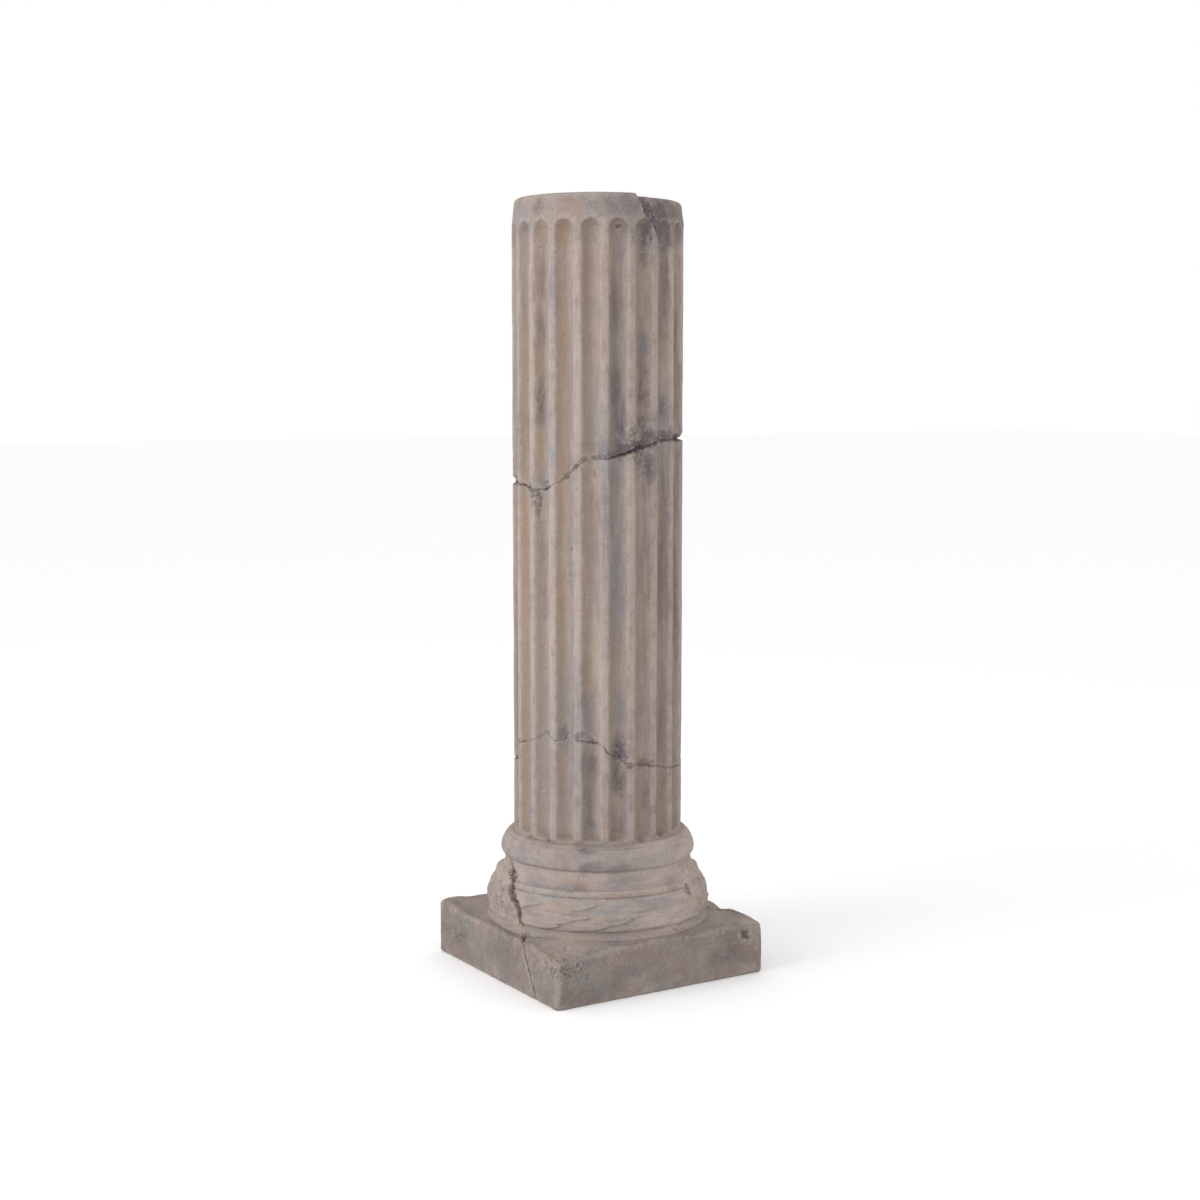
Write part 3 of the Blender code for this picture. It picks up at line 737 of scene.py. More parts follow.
def cut_crack(near, nominal, line, widths, depths, inwards, open_share=0.5, lip=1.0):
    """Cuts a groove into the points of a band, and chips its lower lip."""
    far, width, depth, above = from_crack(nominal[near] + wobble[near], line, widths, depths)
    width = open_share * width * (1 + 0.55 * wear["knobs"][near] + 0.25 * wear["grit"][near])
    groove = depth * (1 - ease(far, 0.1 * width, 0.62 * width))
    held = ease(wear["wobble_b"][near] + 0.6 * wear["fray_b"][near], -0.5, 0.3)
    held = np.maximum(held, ease(depth, 2.6, 3.6))
    groove *= 0.15 + 0.85 * held
    lower = ease(above, 0.5, -0.5)
    reach = 1.8 + (2.6 + 1.5 * wear["lumps"][near]) * lower
    chipped = (0.5 + 0.9 * lower) * (1 - ease(far, 0, reach)) * np.minimum(depth / 3, 1.3)
    chipped *= lip * (1 + 0.8 * wear["grit"][near] + 0.6 * wear["knobs"][near])
    place[near] += inwards[near] * ((groove + chipped) * MM)[:, None]
    fade = np.minimum(1, 0.25 + depth / 3) * (0.3 + 0.7 * held)
    crack[near] = np.maximum(crack[near], fade * (1 - ease(far, 0.3 * width, 0.5 * width + 1.3)))


on_round = radial * SHAFT_RADIUS
on_round[:, 2] = level
for name, stations_of, low, high in (("top", TOP_CRACK, 0.935, 1.03),
                                     ("middle", MIDDLE_CRACK, 0.63, 0.73),
                                     ("lower", LOWER_CRACK, 0.26, 0.35)):
    near = np.flatnonzero(on_shaft & (level > low) & (level < high))
    cut_crack(near, on_round, *crack_line(stations_of, SHAFT_RADIUS), -radial)
    print(name, "crack reaches", int((crack[near] > 0.5).sum()), "points")

# %% Cut the crack in the mouldings and the plinth
BASE_CRACK = (
    (-0.1222, 0.0254, 0.158, 4.0, 2.0), (-0.1235, 0.0240, 0.151, 7.0, 3.2),
    (-0.1275, 0.0155, 0.1425, 10.0, 4.5), (-0.1345, -0.0024, 0.135, 11.0, 5.5),
    (-0.1430, -0.0125, 0.119, 10.0, 5.0), (-0.1440, -0.0228, 0.112, 9.0, 4.5),
    (-0.1440, -0.0358, 0.101, 7.0, 4.0), (-0.1425, -0.0385, 0.084, 6.0, 3.4),
    (-0.1445, -0.0470, 0.0715, 5.5, 2.8), (-0.1540, -0.0640, 0.0700, 5.0, 3.0),
    (-0.1590, -0.0730, 0.0660, 5.0, 3.2), (-0.1600, -0.0770, 0.0536, 4.6, 3.0),
    (-0.1600, -0.0870, 0.0364, 4.2, 2.8), (-0.1600, -0.0975, 0.0206, 3.8, 2.8),
    (-0.1600, -0.1050, 0.0070, 3.6, 2.8), (-0.1600, -0.1080, -0.0020, 3.6, 2.6),
)
base = np.array(BASE_CRACK)
near = np.flatnonzero((level < 0.165) & (degrees < -135) & (degrees > -205) & ~under
                      & (across > 0.115))
cut_crack(near, before, base[:, :3], base[:, 3], base[:, 4], -normal, open_share=1.2, lip=1.4)
rusty = crack * (level < 0.165)
crack -= rusty
print("base crack reaches", int((rusty > 0.5).sum()), "points")

# %% [markdown]
# ### Broken patches, the slipped rim and single pits
#
# Along the cracks, flakes have come off and left shallow hollows with a rough floor. The rim to
# the right of the top crack sits 5 mm lower. Each patch is an ellipse on the unrolled skin: its
# angle and height, half its length and width, its lean, and its depth in millimetres.

# %% Flake off the broken patches
PATCHES = (
    (-86, 1000, 28, 8, -64, 2.6), (-78, 972, 14, 6, -60, 1.6), (-76, 1005, 16, 12, -70, 0.9),
    (-171.5, 642.5, 13, 6, 4, 2.6), (-166, 624, 16, 4, 84, 1.5), (-160, 656, 9, 5, 20, 1.2),
    (-143, 667, 8, 4, 40, 1.6), (-136.5, 677, 8, 4, 48, 1.6), (-131.5, 686, 7, 4, 25, 1.6),
    (-122.4, 690, 9, 4, 5, 1.3), (-106, 697, 12, 5, 10, 1.4), (-92, 706, 14, 6, 12, 1.5),
    (-86, 719, 13, 9, 10, 0.8), (-70, 715, 16, 7, 8, 1.8), (-49, 713, 8, 7, 0, 3.5),
    (-191, 654, 6, 6, 0, 2.0), (-124, 668.5, 5, 1.6, 88, 1.5), (-140.3, 572.5, 4, 1.4, 88, 1.3),
    (-146, 331, 10, 6, 80, 1), (-134, 331, 9, 5, 10, 1.1), (-125, 322.5, 9, 3.4, -8, 1.8),
    (-107, 304, 12, 6, -15, 1.5), (-100, 290, 6, 5, 0, 1.6), (-86, 292.5, 10, 5, 0, 1),
    (-160, 330, 8, 4, 10, 0.8), (-191, 311, 8, 5, 20, 1.2), (-40, 284, 8, 6, 0, 2.4),
    (-201, 298, 5, 5, 0, 2.0), (-107.5, 980.5, 4, 2.4, 0, 2.4), (-38, 713, 10, 5.5, 0, 6.5),
    (-98, 700.5, 26, 7, 12, 1.7), (-84, 709, 16, 9, 14, 1.4), (-114, 690, 9, 4, 10, 1.2),
    (-72, 716, 14, 9, 10, 1.4), (-168, 634, 12, 9, 60, 1.3), (-176, 650, 12, 8, 10, 1.4),
    (-40, 713, 14, 10, 0, 2.0), (-205, 657, 12, 8, 0, 2.0), (-57, 716, 12, 8, 10, 1.6),
    (-207, 656.5, 10, 4.5, 0, 5.5), (-38, 284, 8, 4, 0, 4.0), (-206, 285, 7, 2.5, 0, 3.0),
    (75, 330, 9, 5, 10, 1), (30, 700, 12, 6, -8, 1.4), (120, 678, 10, 5, 10, 1.3),
)
broken = np.zeros(point_count)
for turn_at, height_mm, half_long, half_wide, lean, depth in PATCHES:
    height_at = height_mm / 1000
    near = np.flatnonzero((level > 0.18) & (across > SHAFT_RADIUS - 0.014)
                          & (abs(level - height_at) < 0.035))
    gap = (degrees[near] - turn_at + 180) % 360 - 180
    sideways = np.radians(gap) * SHAFT_RADIUS / MM + 1.6 * wear["wobble_a"][near]
    upwards = (level[near] - height_at) / MM + 1.6 * wear["wobble_b"][near]
    cosine, sine = math.cos(math.radians(lean)), math.sin(math.radians(lean))
    long_share = (sideways * cosine + upwards * sine) / half_long
    wide_share = (upwards * cosine - sideways * sine) / half_wide
    far = np.hypot(long_share, wide_share) + 0.24 * wear["fray_a"][near]
    inside = 1 - ease(far, 0.55, 1.10)
    floor = depth * (1 + 0.35 * wear["knobs"][near] + 0.35 * wear["grit"][near])
    place[near] -= radial[near] * (inside * floor * MM)[:, None]
    broken[near] = np.maximum(broken[near], inside * min(1, depth / 1.5))
print("patches cover", int((broken > 0.5).sum()), "points")

# %% Step the neck back beside the top crack
SCARP_LEVELS = (0.946, 0.959, 0.972, 0.980, 0.989, 1.004, 1.013, 1.026)
SCARP_DEGREES = (-70, -72, -76, -80, -85, -89, -93, -97)
SCARP_DEPTH = 1.9
scarp_turn = np.interp(level, SCARP_LEVELS, SCARP_DEGREES)
beside = np.radians(degrees - scarp_turn) * SHAFT_RADIUS / MM + 1.5 * wear["wobble_a"]
beside += 0.9 * wear["fray_a"]
scarp = ease(beside, -0.3, 1.2) * ease(beside, 24, 9) * ease(level, 0.946, 0.966) * on_shaft
scarp *= 0.75 + 0.35 * wear["lumps"] + 0.30 * wear["knobs"] + 0.25 * wear["grit"]
scarp = np.clip(scarp, 0, 1.4)
place -= radial * (SCARP_DEPTH * MM * scarp)[:, None]
broken = np.maximum(broken, 0.9 * np.minimum(scarp, 1))
print("the step covers", int((scarp > 0.5).sum()), "points")

# %% Lower the rim right of the top crack
SLIP_DROP = 0.0048
rim_crack = np.interp(level, (0.985, 1.004, 1.013, 1.023), (-84, -89, -93, -96.5))
slipped = ease(degrees - rim_crack, 0, 2.2) * ease(degrees, 8, -12) * ease(level, 0.988, 1.014)
place[:, 2] -= SLIP_DROP * slipped * ease(across, 0.070, 0.100)
print("the rim drops", SLIP_DROP / MM, "mm")

# %% Drill the few deep pits of the base
PITS = (
    (0.1315, -0.160, 0.0550, 0.0085, 5.0), (0.1270, -0.160, 0.0590, 0.0050, 2.5),
    (0.1370, -0.160, 0.0500, 0.0045, 2.0),
    (0.0605, -0.1275, 0.1225, 0.0060, 2.5), (-0.152, -0.150, 0.056, 0.0050, 2.5),
    (-0.143, -0.157, 0.052, 0.0040, 2.2), (-0.157, -0.140, 0.058, 0.0040, 2.0),
    (0.150, -0.105, 0.070, 0.0050, 2.2), (0.152, -0.075, 0.070, 0.0060, 2.6),
    (0.149, -0.040, 0.070, 0.0050, 2.0), (-0.160, 0.107, 0.031, 0.0060, 0.8),
    (0.150, 0.120, 0.066, 0.0060, 2.0), (-0.040, 0.158, 0.068, 0.0070, 2.2),
)
for x, y, z, pit_radius, depth in PITS:
    far = np.linalg.norm(before - (x, y, z), axis=1) / pit_radius + 0.25 * wear["fray_a"]
    inside = 1 - ease(far, 0.25, 1.0)
    place -= normal * (inside * depth * MM)[:, None]
    broken = np.maximum(broken, inside)
print(len(PITS), "deep pits")

# %% Pepper the crumbled places with small pits
PIT_FIELDS = (
    ((-0.148, -0.150, 0.060), 0.015, 60, 0.0032, 1.7),
    ((0.150, -0.080, 0.070), 0.020, 40, 0.0036, 1.8),
    ((0.060, -0.158, 0.066), 0.030, 14, 0.0026, 1.0),
    ((-0.155, -0.060, 0.067), 0.014, 14, 0.0026, 1.1),
    ((-0.020, 0.155, 0.068), 0.030, 20, 0.0034, 1.6),
    ((-0.143, 0.012, 0.110), 0.018, 40, 0.0024, 1.1),
    ((0.103, -0.103, 0.112), 0.020, 36, 0.0026, 1.2),
)
chance = np.random.default_rng(11)
low_down = np.flatnonzero((level < 0.16) & ~under)
for middle, spread_out, how_many, pit_radius, depth in PIT_FIELDS:
    for _ in range(how_many):
        at = np.array(middle) + chance.normal(0, spread_out, 3) * (1, 1, 0.5)
        closest = low_down[((before[low_down] - at) ** 2).sum(axis=1).argmin()]
        size = pit_radius * chance.uniform(0.5, 1.2)
        far = np.linalg.norm(before[low_down] - before[closest], axis=1) / size
        near = low_down[far < 1.3]
        inside = 1 - ease(far[far < 1.3] + 0.25 * wear["fray_a"][near], 0.2, 1.0)
        place[near] -= normal[near] * (inside * depth * chance.uniform(0.5, 1.1) * MM)[:, None]
        broken[near] = np.maximum(broken[near], 0.8 * inside)
print(sum(field[2] for field in PIT_FIELDS), "small pits")

# %% [markdown]
# ### Stains and washes
#
# On the real pillar thin pigments were sponged and brushed on, and they settled in the flutes and
# round the cracks. Each stain is a cloud on the unrolled skin: its angle and height, half its
# width and height in millimetres, and its strength.

# %% Where stains have soaked in
CLOUDS = {
    "charcoal": (
    (-97, 704, 34, 11, 1), (-84, 716, 24, 17, 0.9), (-90, 686, 22, 13, 0.7),
    (-112, 694, 20, 7, 0.8), (-214, 35, 16, 16, 0.6), (-78, 985, 12, 30, 0.8),
    (-88, 965, 9, 15, 1), (-89, 945, 7, 14, 0.6), (-165, 766, 7, 16, 0.8),
    (-90, 766, 9, 16, 0.7), (-71, 751, 8, 14, 0.8), (-159, 650, 8, 4, 1),
    (-99, 723, 20, 9, 0.8), (-90, 731, 14, 14, 0.8), (-107, 692, 12, 6, 1),
    (-93, 700, 16, 7, 1), (-81, 707, 10, 7, 1), (-88, 676, 12, 16, 0.5),
    (-127, 323, 8, 8, 0.5), (-127, 214, 8, 12, 0.5), (-107, 309, 11, 13, 1),
    (-107, 270, 10, 18, 0.7), (-146, 333, 8, 9, 0.5), (-131, 183, 10, 8, 0.6),
    (-126, 161, 14, 5, 0.4), (-66, 117, 6, 5, 0.9), (-175, 161, 6, 4, 0.4),
    (-86, 1000, 12, 22, 0.7), (-64, 714, 16, 8, 0.6), (-40, 713, 12, 8, 0.7),
    # The spots at a height of 190 mm are painted shade in the corners at the flute feet, where the
    # flutes end on the torus
    (-204, 656, 10, 7, 0.6), (-173, 190, 7, 2.5, 0.9), (-155, 190, 8, 2.5, 0.9),
    (-133, 190, 6, 2.5, 0.8), (-92, 190, 8, 2.5, 0.7), (-74, 191, 6, 2.5, 0.7),
    (30, 690, 16, 18, 0.7), (75, 325, 14, 14, 0.7), (130, 900, 14, 30, 0.5),
    (-45, 290, 8, 12, 0.6), (-20, 560, 12, 40, 0.4), (-10, 190, 9, 3, 0.8),
    (60, 190, 9, 3, 0.8), (110, 675, 14, 8, 0.8), (15, 300, 12, 12, 0.6),
    ),
    "cold": (
    (-141, 22, 9, 18, 1), (-208, 60, 18, 8, 0.8), (-150, 50, 18, 14, 0.5),
    (-176, 974, 9, 30, 1), (-179, 941, 8, 50, 0.5), (-110, 832, 10, 30, 0.4),
    (-90, 829, 9, 18, 1), (-70, 752, 10, 18, 0.7), (-177, 698, 8, 45, 0.7),
    (-168, 655, 12, 10, 0.9), (-126, 731, 10, 40, 0.5), (-108, 666, 9, 18, 1),
    (-107, 539, 10, 90, 0.9), (-111, 610, 8, 40, 0.6), (-157, 557, 8, 80, 0.4),
    (-127, 352, 10, 28, 0.9), (-126, 210, 11, 12, 1), (-107, 363, 10, 26, 0.8),
    (-146, 327, 10, 14, 1), (-146, 380, 9, 40, 0.6), (-144, 245, 9, 36, 0.4),
    (-129, 171, 12, 12, 0.9), (-106, 139, 24, 8, 0.8), (-156, 135, 20, 6, 0.5),
    (-175, 166, 12, 10, 0.6), (-89, 111, 20, 8, 0.5), (-152, 85, 20, 6, 0.5),
    (20, 800, 9, 90, 0.8), (60, 450, 9, 90, 0.7), (100, 700, 10, 80, 0.7),
    (140, 350, 10, 80, 0.7), (-20, 300, 9, 70, 0.7), (-30, 850, 9, 80, 0.6),
    (75, 150, 24, 10, 0.6), (0, 110, 24, 10, 0.6),
    ),
    "purple": (
    (-172, 40, 18, 26, 0.8), (-53, 36, 20, 22, 0.8), (-130, 14, 14, 12, 0.8),
    (-165, 1006, 8, 8, 0.9), (-112, 1006, 22, 9, 0.5), (-74, 985, 20, 24, 0.9),
    (-164, 851, 7, 14, 0.9), (-110, 882, 10, 28, 0.7), (-109, 779, 11, 30, 1),
    (-91, 798, 9, 50, 0.7), (-166, 750, 6, 16, 0.9), (-107, 731, 11, 30, 1),
    (-81, 673, 14, 22, 0.8), (-162, 537, 8, 70, 0.4), (-75, 523, 9, 40, 0.8),
    (-225, 547, 8, 80, 0.5), (-127, 290, 11, 24, 1), (-128, 247, 11, 22, 0.8),
    (-107, 288, 12, 40, 0.8), (-107, 213, 11, 20, 0.6), (-85, 255, 10, 30, 0.8),
    (-132, 404, 8, 40, 0.6), (-121, 161, 24, 8, 0.5), (-134, 133, 14, 5, 0.6),
    (-83, 167, 20, 8, 0.4), (-111, 91, 26, 6, 0.5), (50, 850, 10, 70, 0.8),
    (110, 500, 10, 80, 0.8), (0, 500, 10, 80, 0.7), (165, 700, 8, 80, 0.7),
    (30, 690, 16, 30, 0.8), (85, 270, 10, 40, 0.8),
    ),
    "warm": (
    (-139, 1005, 14, 11, 0.8), (-146, 901, 7, 80, 0.7), (-50, 782, 8, 40, 0.8),
    (-149, 545, 5, 120, 0.5), (-132, 559, 6, 120, 0.4), (-181, 502, 9, 90, 0.5),
    (-162, 248, 8, 40, 0.5), (-181, 289, 9, 24, 0.8), (-117, 210, 5, 11, 1),
    (-135, 141, 16, 5, 0.6), (-110, 127, 40, 4, 0.9), (-142, 114, 20, 5, 0.5),
    (40, 600, 7, 90, 0.8), (90, 300, 7, 80, 0.8), (150, 850, 8, 80, 0.8),
    (60, 127, 60, 4, 0.8), (-10, 780, 8, 60, 0.7),
    ),
    "umber": (
    (-62, 982, 14, 50, 0.9), (-69, 903, 12, 70, 0.9), (-53, 853, 10, 80, 0.9),
    (-82, 889, 8, 60, 0.6), (-164, 921, 7, 28, 0.9), (-165, 813, 7, 60, 0.5),
    (-189, 723, 6, 60, 0.8), (-140, 674, 14, 12, 0.6), (-69, 568, 10, 110, 0.7),
    (-52, 500, 8, 140, 0.9), (-85, 557, 9, 90, 0.6), (-89, 290, 11, 4, 1),
    (-55, 367, 8, 110, 0.9), (-71, 351, 9, 60, 0.7), (-67, 237, 10, 50, 0.6),
    (-77, 130, 12, 8, 0.6), (-36, 900, 9, 100, 0.8), (-34, 600, 8, 120, 0.7),
    (15, 950, 9, 60, 0.8), (70, 750, 8, 100, 0.8), (125, 600, 8, 100, 0.8),
    (-15, 380, 9, 100, 0.7), (45, 260, 9, 60, 0.7), (158, 400, 8, 100, 0.7),
    ),
}


in_flute = np.sqrt(np.clip(read_values(skin_mesh, "hollow"), 0, 1))
high_up = ease(level, 0.190, 0.200) * ease(level, 0.985, 0.975)
high_up *= ease(abs(level - 0.700), 0.025, 0.055)
settles = 1 - 0.55 * high_up * (1 - in_flute) * (1 - np.maximum(broken, crack))


def clouded(clouds):
    """How strongly each point lies in one of the clouds, with wandering edges."""
    strength_here = np.zeros(point_count)
    for turn_at, height_mm, half_wide, half_high, strength in clouds:
        gap = (degrees - turn_at + 180) % 360 - 180
        sideways = np.radians(gap) * SHAFT_RADIUS / MM / (half_wide * 1.2)
        upwards = (level - height_mm / 1000) / MM / (half_high * 1.35)
        far = np.hypot(sideways, upwards) + 0.35 * wear["wobble_a"] + 0.25 * wear["knobs"]
        strength_here = np.maximum(strength_here, strength * (1 - ease(far, 0.0, 1.4)))
    return strength_here * settles * (across > 0.10)


clouds = {name: clouded(spots) for name, spots in CLOUDS.items()}
print({name: int((values > 0.3).sum()) for name, values in clouds.items()}, "points")

# %% Which way the brush went, how sandy the skin is, where it is darker, and the painted light
brushed = place.copy()
brushed[:, :2] *= np.interp(level, (0.0715, 0.090, 0.180, 0.200), (1.0, 0.3, 0.3, 1.0))[:, None]
brushed[:, 2] = np.interp(level, (0.0, 0.0715, 0.190, 0.955, 1.023),
                          (0.0, 0.0715, 0.2140, 0.2905, 0.3450))
sandy = np.interp(level, (0.0, 0.072, 0.085, 0.180, 0.200, 0.960, 0.985),
                  (1.0, 1.0, 0.8, 0.8, 0.60, 0.60, 0.8))
sandy = np.maximum(sandy, broken)
# Darker on the mouldings, most on their left side and least on the cove and below it
film = ease(level, 0.192, 0.183) * (1 - 0.95 * ease(degrees, -105, -80)) * ~on_plinth
film *= 0.25 + 0.75 * ease(level, 0.148, 0.160)
# Painted light: lighter on the mouldings towards the right, away from the key light, in the cove
# that the upper torus shades, and on the plinth's half towards +X
bloom = ease(level, 0.192, 0.183) * (0.15 + 0.85 * ease(degrees, -110, -80)) * ~on_plinth
bloom = np.maximum(bloom, 0.6 * ease(level, 0.122, 0.132) * ease(level, 0.155, 0.148))
bloom = np.maximum(bloom, 0.9 * on_plinth * ease(place[:, 0], -0.10, 0.02))
# Darker on the neck, most towards the right, and on the low part of the shaft
film += ease(level, 0.955, 0.978) * (0.75 + 0.85 * ease(degrees, -135, -92)
                                     * ease(degrees, 10, -30))
film += 0.45 * ease(level, 0.188, 0.194) * ease(level, 0.45, 0.28)
print("film on", int((film > 0.5).sum()), "points")

# %% [markdown]
# ## From dense skin to finished piece
#
# The skin has far more points than the piece may keep. Decimate takes them away where the stone
# is smooth. A small tree measures how deep each point lies in a hollow, where dirt gathers and
# where the material paints shade, and how far it stands out on an edge, where the material paints
# a highlight: it blurs the skin and looks at which side of the blurred one the real one is.

# %% Write the carved skin back
place = np.clip(place, cad_box[0], cad_box[1])
place[under, 2] = 0
skin_mesh.vertices.foreach_set("co", place.astype(np.float32).ravel())
for name, values in {"crack": crack, "rusty": rusty, "broken": broken, "sandy": sandy,
                     "film": film, "bloom": bloom, **clouds}.items():
    kept_values = skin_mesh.attributes.new(name, "FLOAT", "POINT")
    kept_values.data.foreach_set("value", values.astype(np.float32))
kept_vectors = skin_mesh.attributes.new("brushed", "FLOAT_VECTOR", "POINT")
kept_vectors.data.foreach_set("vector", brushed.astype(np.float32).ravel())
for name in wear:
    if name != "squareness":
        skin_mesh.attributes.remove(skin_mesh.attributes[name])
skin_mesh.update()
print(len(skin_mesh.attributes), "attributes on the skin")

# %% Thin the skin out and measure its hollows
TRIANGLES = 196000
before_thinning = sum(len(face.vertices) - 2 for face in skin_mesh.polygons)
thin = pillar.modifiers.new("thin out", "DECIMATE")
thin.ratio = TRIANGLES / before_thinning

hollow_measure = {"Blur Steps": 5, "Deep": 0.0012}
tree, given = new_tree("depth_in_hollows", hollow_measure)
here = add(POSITION)
blurred = add(
    "GeometryNodeBlurAttribute", {"Value": here, "Iterations": given["Blur Steps"]},
    data_type="FLOAT_VECTOR")
sunk = add(
    VECTOR, [add(VECTOR, [blurred, here], operation="SUBTRACT"), add("GeometryNodeInputNormal")],
    operation="DOT_PRODUCT")
recess = add("DIVIDE", [sunk.outputs["Value"], given["Deep"]])
skin = add(STORE, {"Geometry": given["Geometry"], "Name": "recess", "Value": recess})
finish_tree(skin, hollow_measure)
finished = made_plain()
finished.shade_smooth()
boxed = np.clip(read_vectors(finished.vertices, "co"), cad_box[0], cad_box[1])
finished.vertices.foreach_set("co", boxed.astype(np.float32).ravel())
finished.update()
bpy.data.meshes.remove(skin_mesh)
print(len(finished.polygons), "triangles after thinning, from", before_thinning)
print("recess from", read_values(finished, "recess").min().round(2),
      "to", read_values(finished, "recess").max().round(2))

# %% [markdown]
# ## The stone's finish
#
# Cast stone is crushed stone and cement poured into a mould. It is fully matt, and fine sand
# shows in it. This one was washed with thin pigments to look old: a pinkish grey ground, ochre
# that ran into the flutes, blue grey and purple grey drawn out along the shaft, charcoal where
# the cracks are, and brown in the hollows. The ochre on the flutes' left walls and the brown in
# the hollows are also painted shade. Painted light makes the mouldings' shaded right side, the
# cove under the upper torus and the plinth's right lighter, and a painted highlight lightens the
# worn edges that stand out. Each wash is a noise in real sizes, on Object coordinates or along
# the brush, and most are held to a value measured on the skin. The sand is drawn coarser than
# real grains of under a millimetre, which are too fine to show.


# %% Colours, from how they look to how a shader takes them
def linear(code):
    """An sRGB hex colour as the linear one that a shader takes."""
    parts = [int(code[at:at + 2], 16) / 255 for at in (1, 3, 5)]
    return (*[part / 12.92 if part <= 0.04045 else ((part + 0.055) / 1.055) ** 2.4
              for part in parts], 1.0)


GROUND = "#998b82"
print("ground colour", [round(part, 3) for part in linear(GROUND)])

# %% Begin the material
stone.use_nodes = True
tree = stone.node_tree
tree.nodes.clear()
out = add("ShaderNodeOutputMaterial")
shader = add("ShaderNodeBsdfPrincipled", {"Roughness": 0.92, "Specular IOR Level": 0.25})
tree.links.new(shader.outputs[0], out.inputs["Surface"])
print("roughness", shader.inputs["Roughness"].default_value)

# %% Where each wash can go
MEASURED = ("hollow", "left_wall", "squareness", "crack", "rusty", "broken", "sandy", "film",
            "bloom", "recess", *CLOUDS)
only_on = {name: add(
    "ShaderNodeAttribute", attribute_name=name).outputs["Fac"] for name in MEASURED}
# Brown dirt in the hollows, which also paints shade there
only_on["dirt_and_shade_in_hollows"] = add(MAP, {"Value": only_on["recess"], "From Min": 0.06, "From Max": 0.7})
# The edges that stand out: worn lighter, with a painted highlight on them
only_on["edge"] = add(MAP, {"Value": only_on["recess"], "From Min": -0.05, "From Max": -0.5})
ways = {"even": add(
    "ShaderNodeTexCoord").outputs["Object"], "brushed": add("ShaderNodeAttribute",
    attribute_name="brushed").outputs["Vector"]}
print(len(only_on), "measured values")

# %% The washes, with painted light and painted shade among them, in the order in which they are laid on
COLOUR_LAYERS = (
    ("#a4988f", "brushed", 45, 0.42, 0.60, None, 0.80),
    ("#a08a82", "brushed", 34, 0.46, 0.64, None, 0.60),
    ("#81858b", "brushed", 40, 0.50, 0.66, None, 0.60),
    ("#776b71", "brushed", 30, 0.51, 0.69, None, 0.55),
    ("#72666a", "brushed", 4.5, 0.50, 0.66, None, 0.34),
    ("#b3a7a0", "brushed", 3.5, 0.52, 0.68, None, 0.30),
    # Darker on the mouldings, the neck and the low part of the shaft
    ("#7d7370", "brushed", 26, 0.05, 0.55, "film", 0.62),
    # Painted light on the mouldings' right side, in the cove and on the plinth's right
    ("#b9ada5", "brushed", 26, 0.20, 0.60, "bloom", 0.38),
    # Ochre on the flutes' left walls, darker there as painted shade
    ("#86735c", "brushed", 30, 0.20, 0.62, "left_wall", 0.80),
    ("#8d817a", "brushed", 26, 0.30, 0.65, "hollow", 0.32),
    ("#917562", "brushed", 9, 0.22, 0.58, "warm", 0.80),
    ("#72757c", "brushed", 9, 0.22, 0.58, "cold", 0.85),
    ("#5f565b", "brushed", 9, 0.22, 0.58, "purple", 0.85),
    ("#69594f", "brushed", 8, 0.24, 0.60, "umber", 0.85),
    ("#776b64", "even", 70, 0.15, 0.60, "squareness", 0.75),
    ("#665c5f", "even", 36, 0.44, 0.72, "squareness", 0.50),
    ("#8a7362", "even", 30, 0.50, 0.74, "squareness", 0.30),
    ("#727673", "even", 55, 0.45, 0.70, "squareness", 0.45),
    # Brown dirt and painted shade in the hollows
    ("#6b5340", "even", 20, 0.30, 0.55, "dirt_and_shade_in_hollows", 0.35),
    # Lighter on the edges that stand out: worn stone and a painted highlight
    ("#b5a9a0", "even", 16, 0.34, 0.58, "edge", 0.30),
    ("#45434a", "even", 5, 0.28, 0.60, "charcoal", 0.88),
    ("#665a5f", "even", 6, 0.32, 0.58, "broken", 0.80),
    ("#b3a79d", "even", 3, 0.57, 0.70, "broken", 0.50),
    ("#4b4443", "even", 3.5, 0.36, 0.56, "crack", 0.85),
    ("#7f5f4c", "even", 9, 0.44, 0.62, "rusty", 0.75),
    ("#523e37", "even", 7, 0.62, 0.38, "rusty", 0.85),
    ("#b9aea5", "even", 1.8, 0.55, 0.70, "sandy", 0.42),
    ("#564c47", "even", 1.8, 0.45, 0.30, "sandy", 0.55),
)
colour = linear(GROUND)
for number, (code, way, size_mm, low, high, place_name, most) in enumerate(COLOUR_LAYERS):
    moved = add(VECTOR, [ways[way], (2.0 * number, 2.6 * number, 1.4 * number)], operation="ADD")
    noise = add(NOISE, {"Vector": moved, "Scale": 1000 / size_mm, "Detail": 3.0, "Roughness": 0.6})
    strength = add(
        MAP, {"Value": noise, "From Min": low, "From Max": high, "To Max": most}, **SMOOTH)
    if place_name:
        strength = add("MULTIPLY", [strength, only_on[place_name]], use_clamp=True)
    washed = add("ShaderNodeMix", {0: strength, 6: colour, 7: linear(code)}, data_type="RGBA")
    colour = washed.outputs[2]
tree.links.new(colour, shader.inputs["Base Color"])
print(len(COLOUR_LAYERS), "washes")

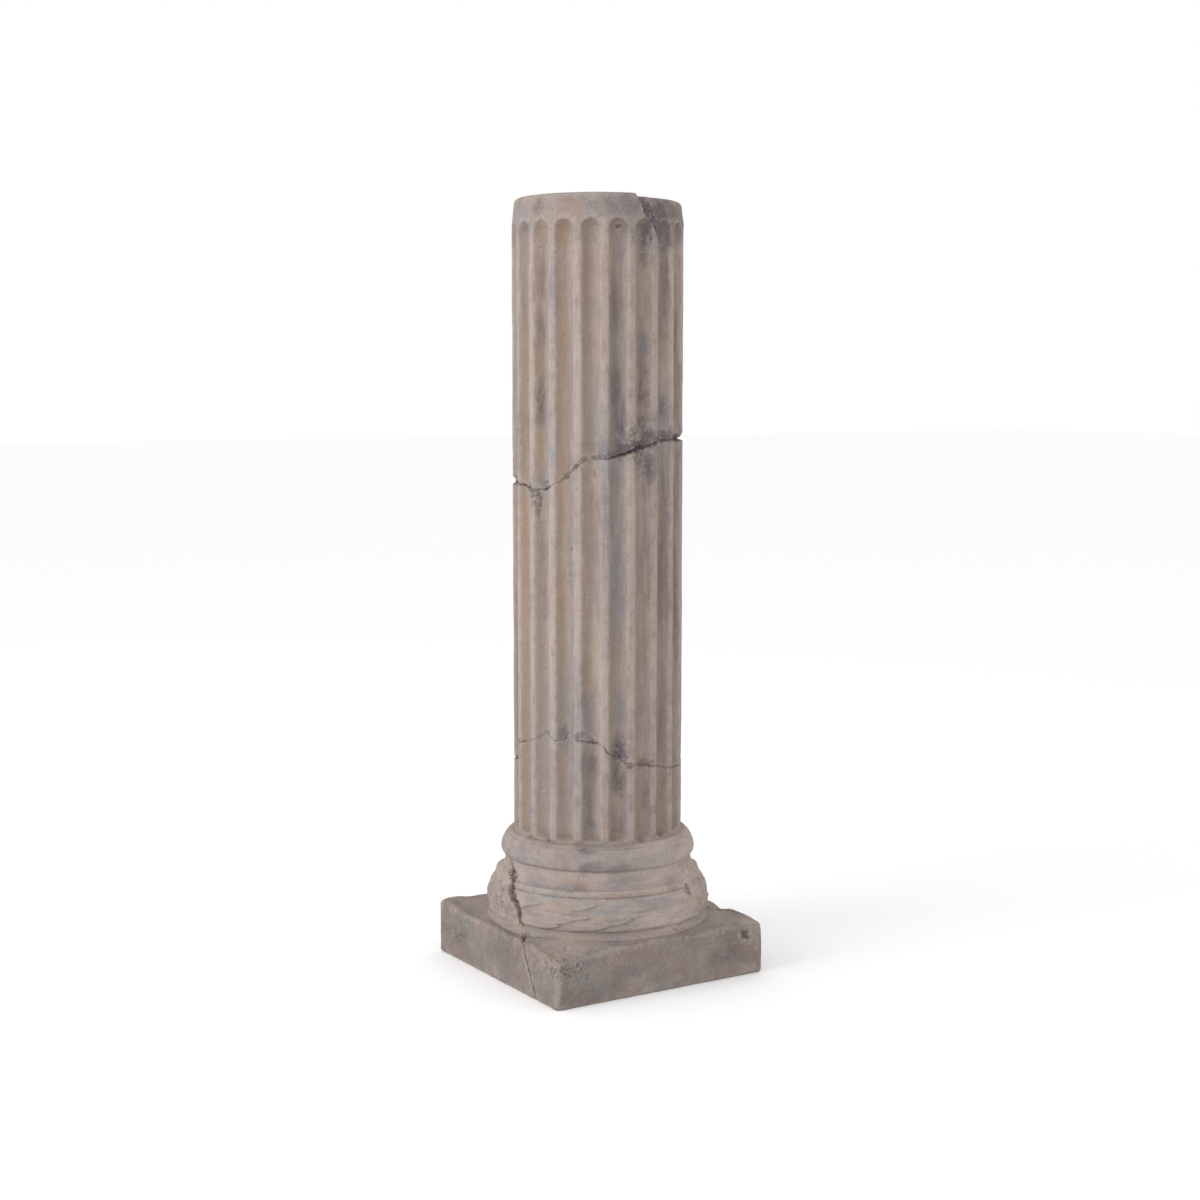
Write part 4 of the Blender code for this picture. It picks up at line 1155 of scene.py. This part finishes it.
# %% The sandy surface as bump
# Coarser than the real sand, which is too fine to show from the camera
SAND_MM = 3.5
sand = add(
    NOISE, {"Vector": ways["even"], "Scale": 1000 / SAND_MM, "Detail": 4.0, "Roughness": 0.65})
gritty = add("MULTIPLY", [sand, only_on["sandy"]])
bump = add("ShaderNodeBump", {"Strength": 0.7, "Distance": 0.0014, "Height": gritty})
tree.links.new(bump.outputs[0], shader.inputs["Normal"])
print(len(tree.nodes), "nodes in the stone")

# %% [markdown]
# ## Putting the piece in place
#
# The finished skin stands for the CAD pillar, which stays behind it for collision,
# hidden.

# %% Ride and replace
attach(pillar, "root")
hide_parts("fluted_pillar")
print(pillar.name, "stands for the CAD pillar")

# %% [markdown]
# ## Floor and light
#
# The pillar stands on a plain pale floor in a bright, soft room. A large soft light from the
# front left gives each flute its dark left wall and bright right wall, and the white
# surroundings fill the rest.

# %% The floor
floor_mesh = bpy.data.meshes.new("floor")
floor_mesh.from_pydata([(-30, -30, 0), (30, -30, 0), (30, 30, 0), (-30, 30, 0)], [], [(0, 1, 2, 3)])
floor = bpy.data.objects.new("floor", floor_mesh)
bpy.context.scene.collection.objects.link(floor)
paper = bpy.data.materials.new("pale_floor")
paper.use_nodes = True
paper.node_tree.nodes["Principled BSDF"].inputs["Base Color"].default_value = (0.97, 0.97, 0.97, 1)
paper.node_tree.nodes["Principled BSDF"].inputs["Roughness"].default_value = 1.0
floor_mesh.materials.append(paper)
print("floor at height 0")

# %% The lights
world = bpy.data.worlds.new("white room")
world.use_nodes = True
world.node_tree.nodes["Background"].inputs["Color"].default_value = (1, 1, 1, 1)
world.node_tree.nodes["Background"].inputs["Strength"].default_value = 1.0
bpy.context.scene.world = world
bpy.context.scene.view_settings.view_transform = "Standard"
turn, rise = math.radians(-58 - 122.03), math.radians(20)
middle = Vector((0, 0, 0.5))
lamp = bpy.data.lights.new("key", "AREA")
lamp.shape, lamp.size, lamp.energy = "SQUARE", 1.8, 38
light = bpy.data.objects.new("key", lamp)
light.location = middle + 3.0 * Vector((math.cos(turn) * math.cos(rise),
                                        math.sin(turn) * math.cos(rise), math.sin(rise)))
light.rotation_euler = (middle - light.location).to_track_quat("-Z", "Y").to_euler()
bpy.context.scene.collection.objects.link(light)
print("one light and a white room")
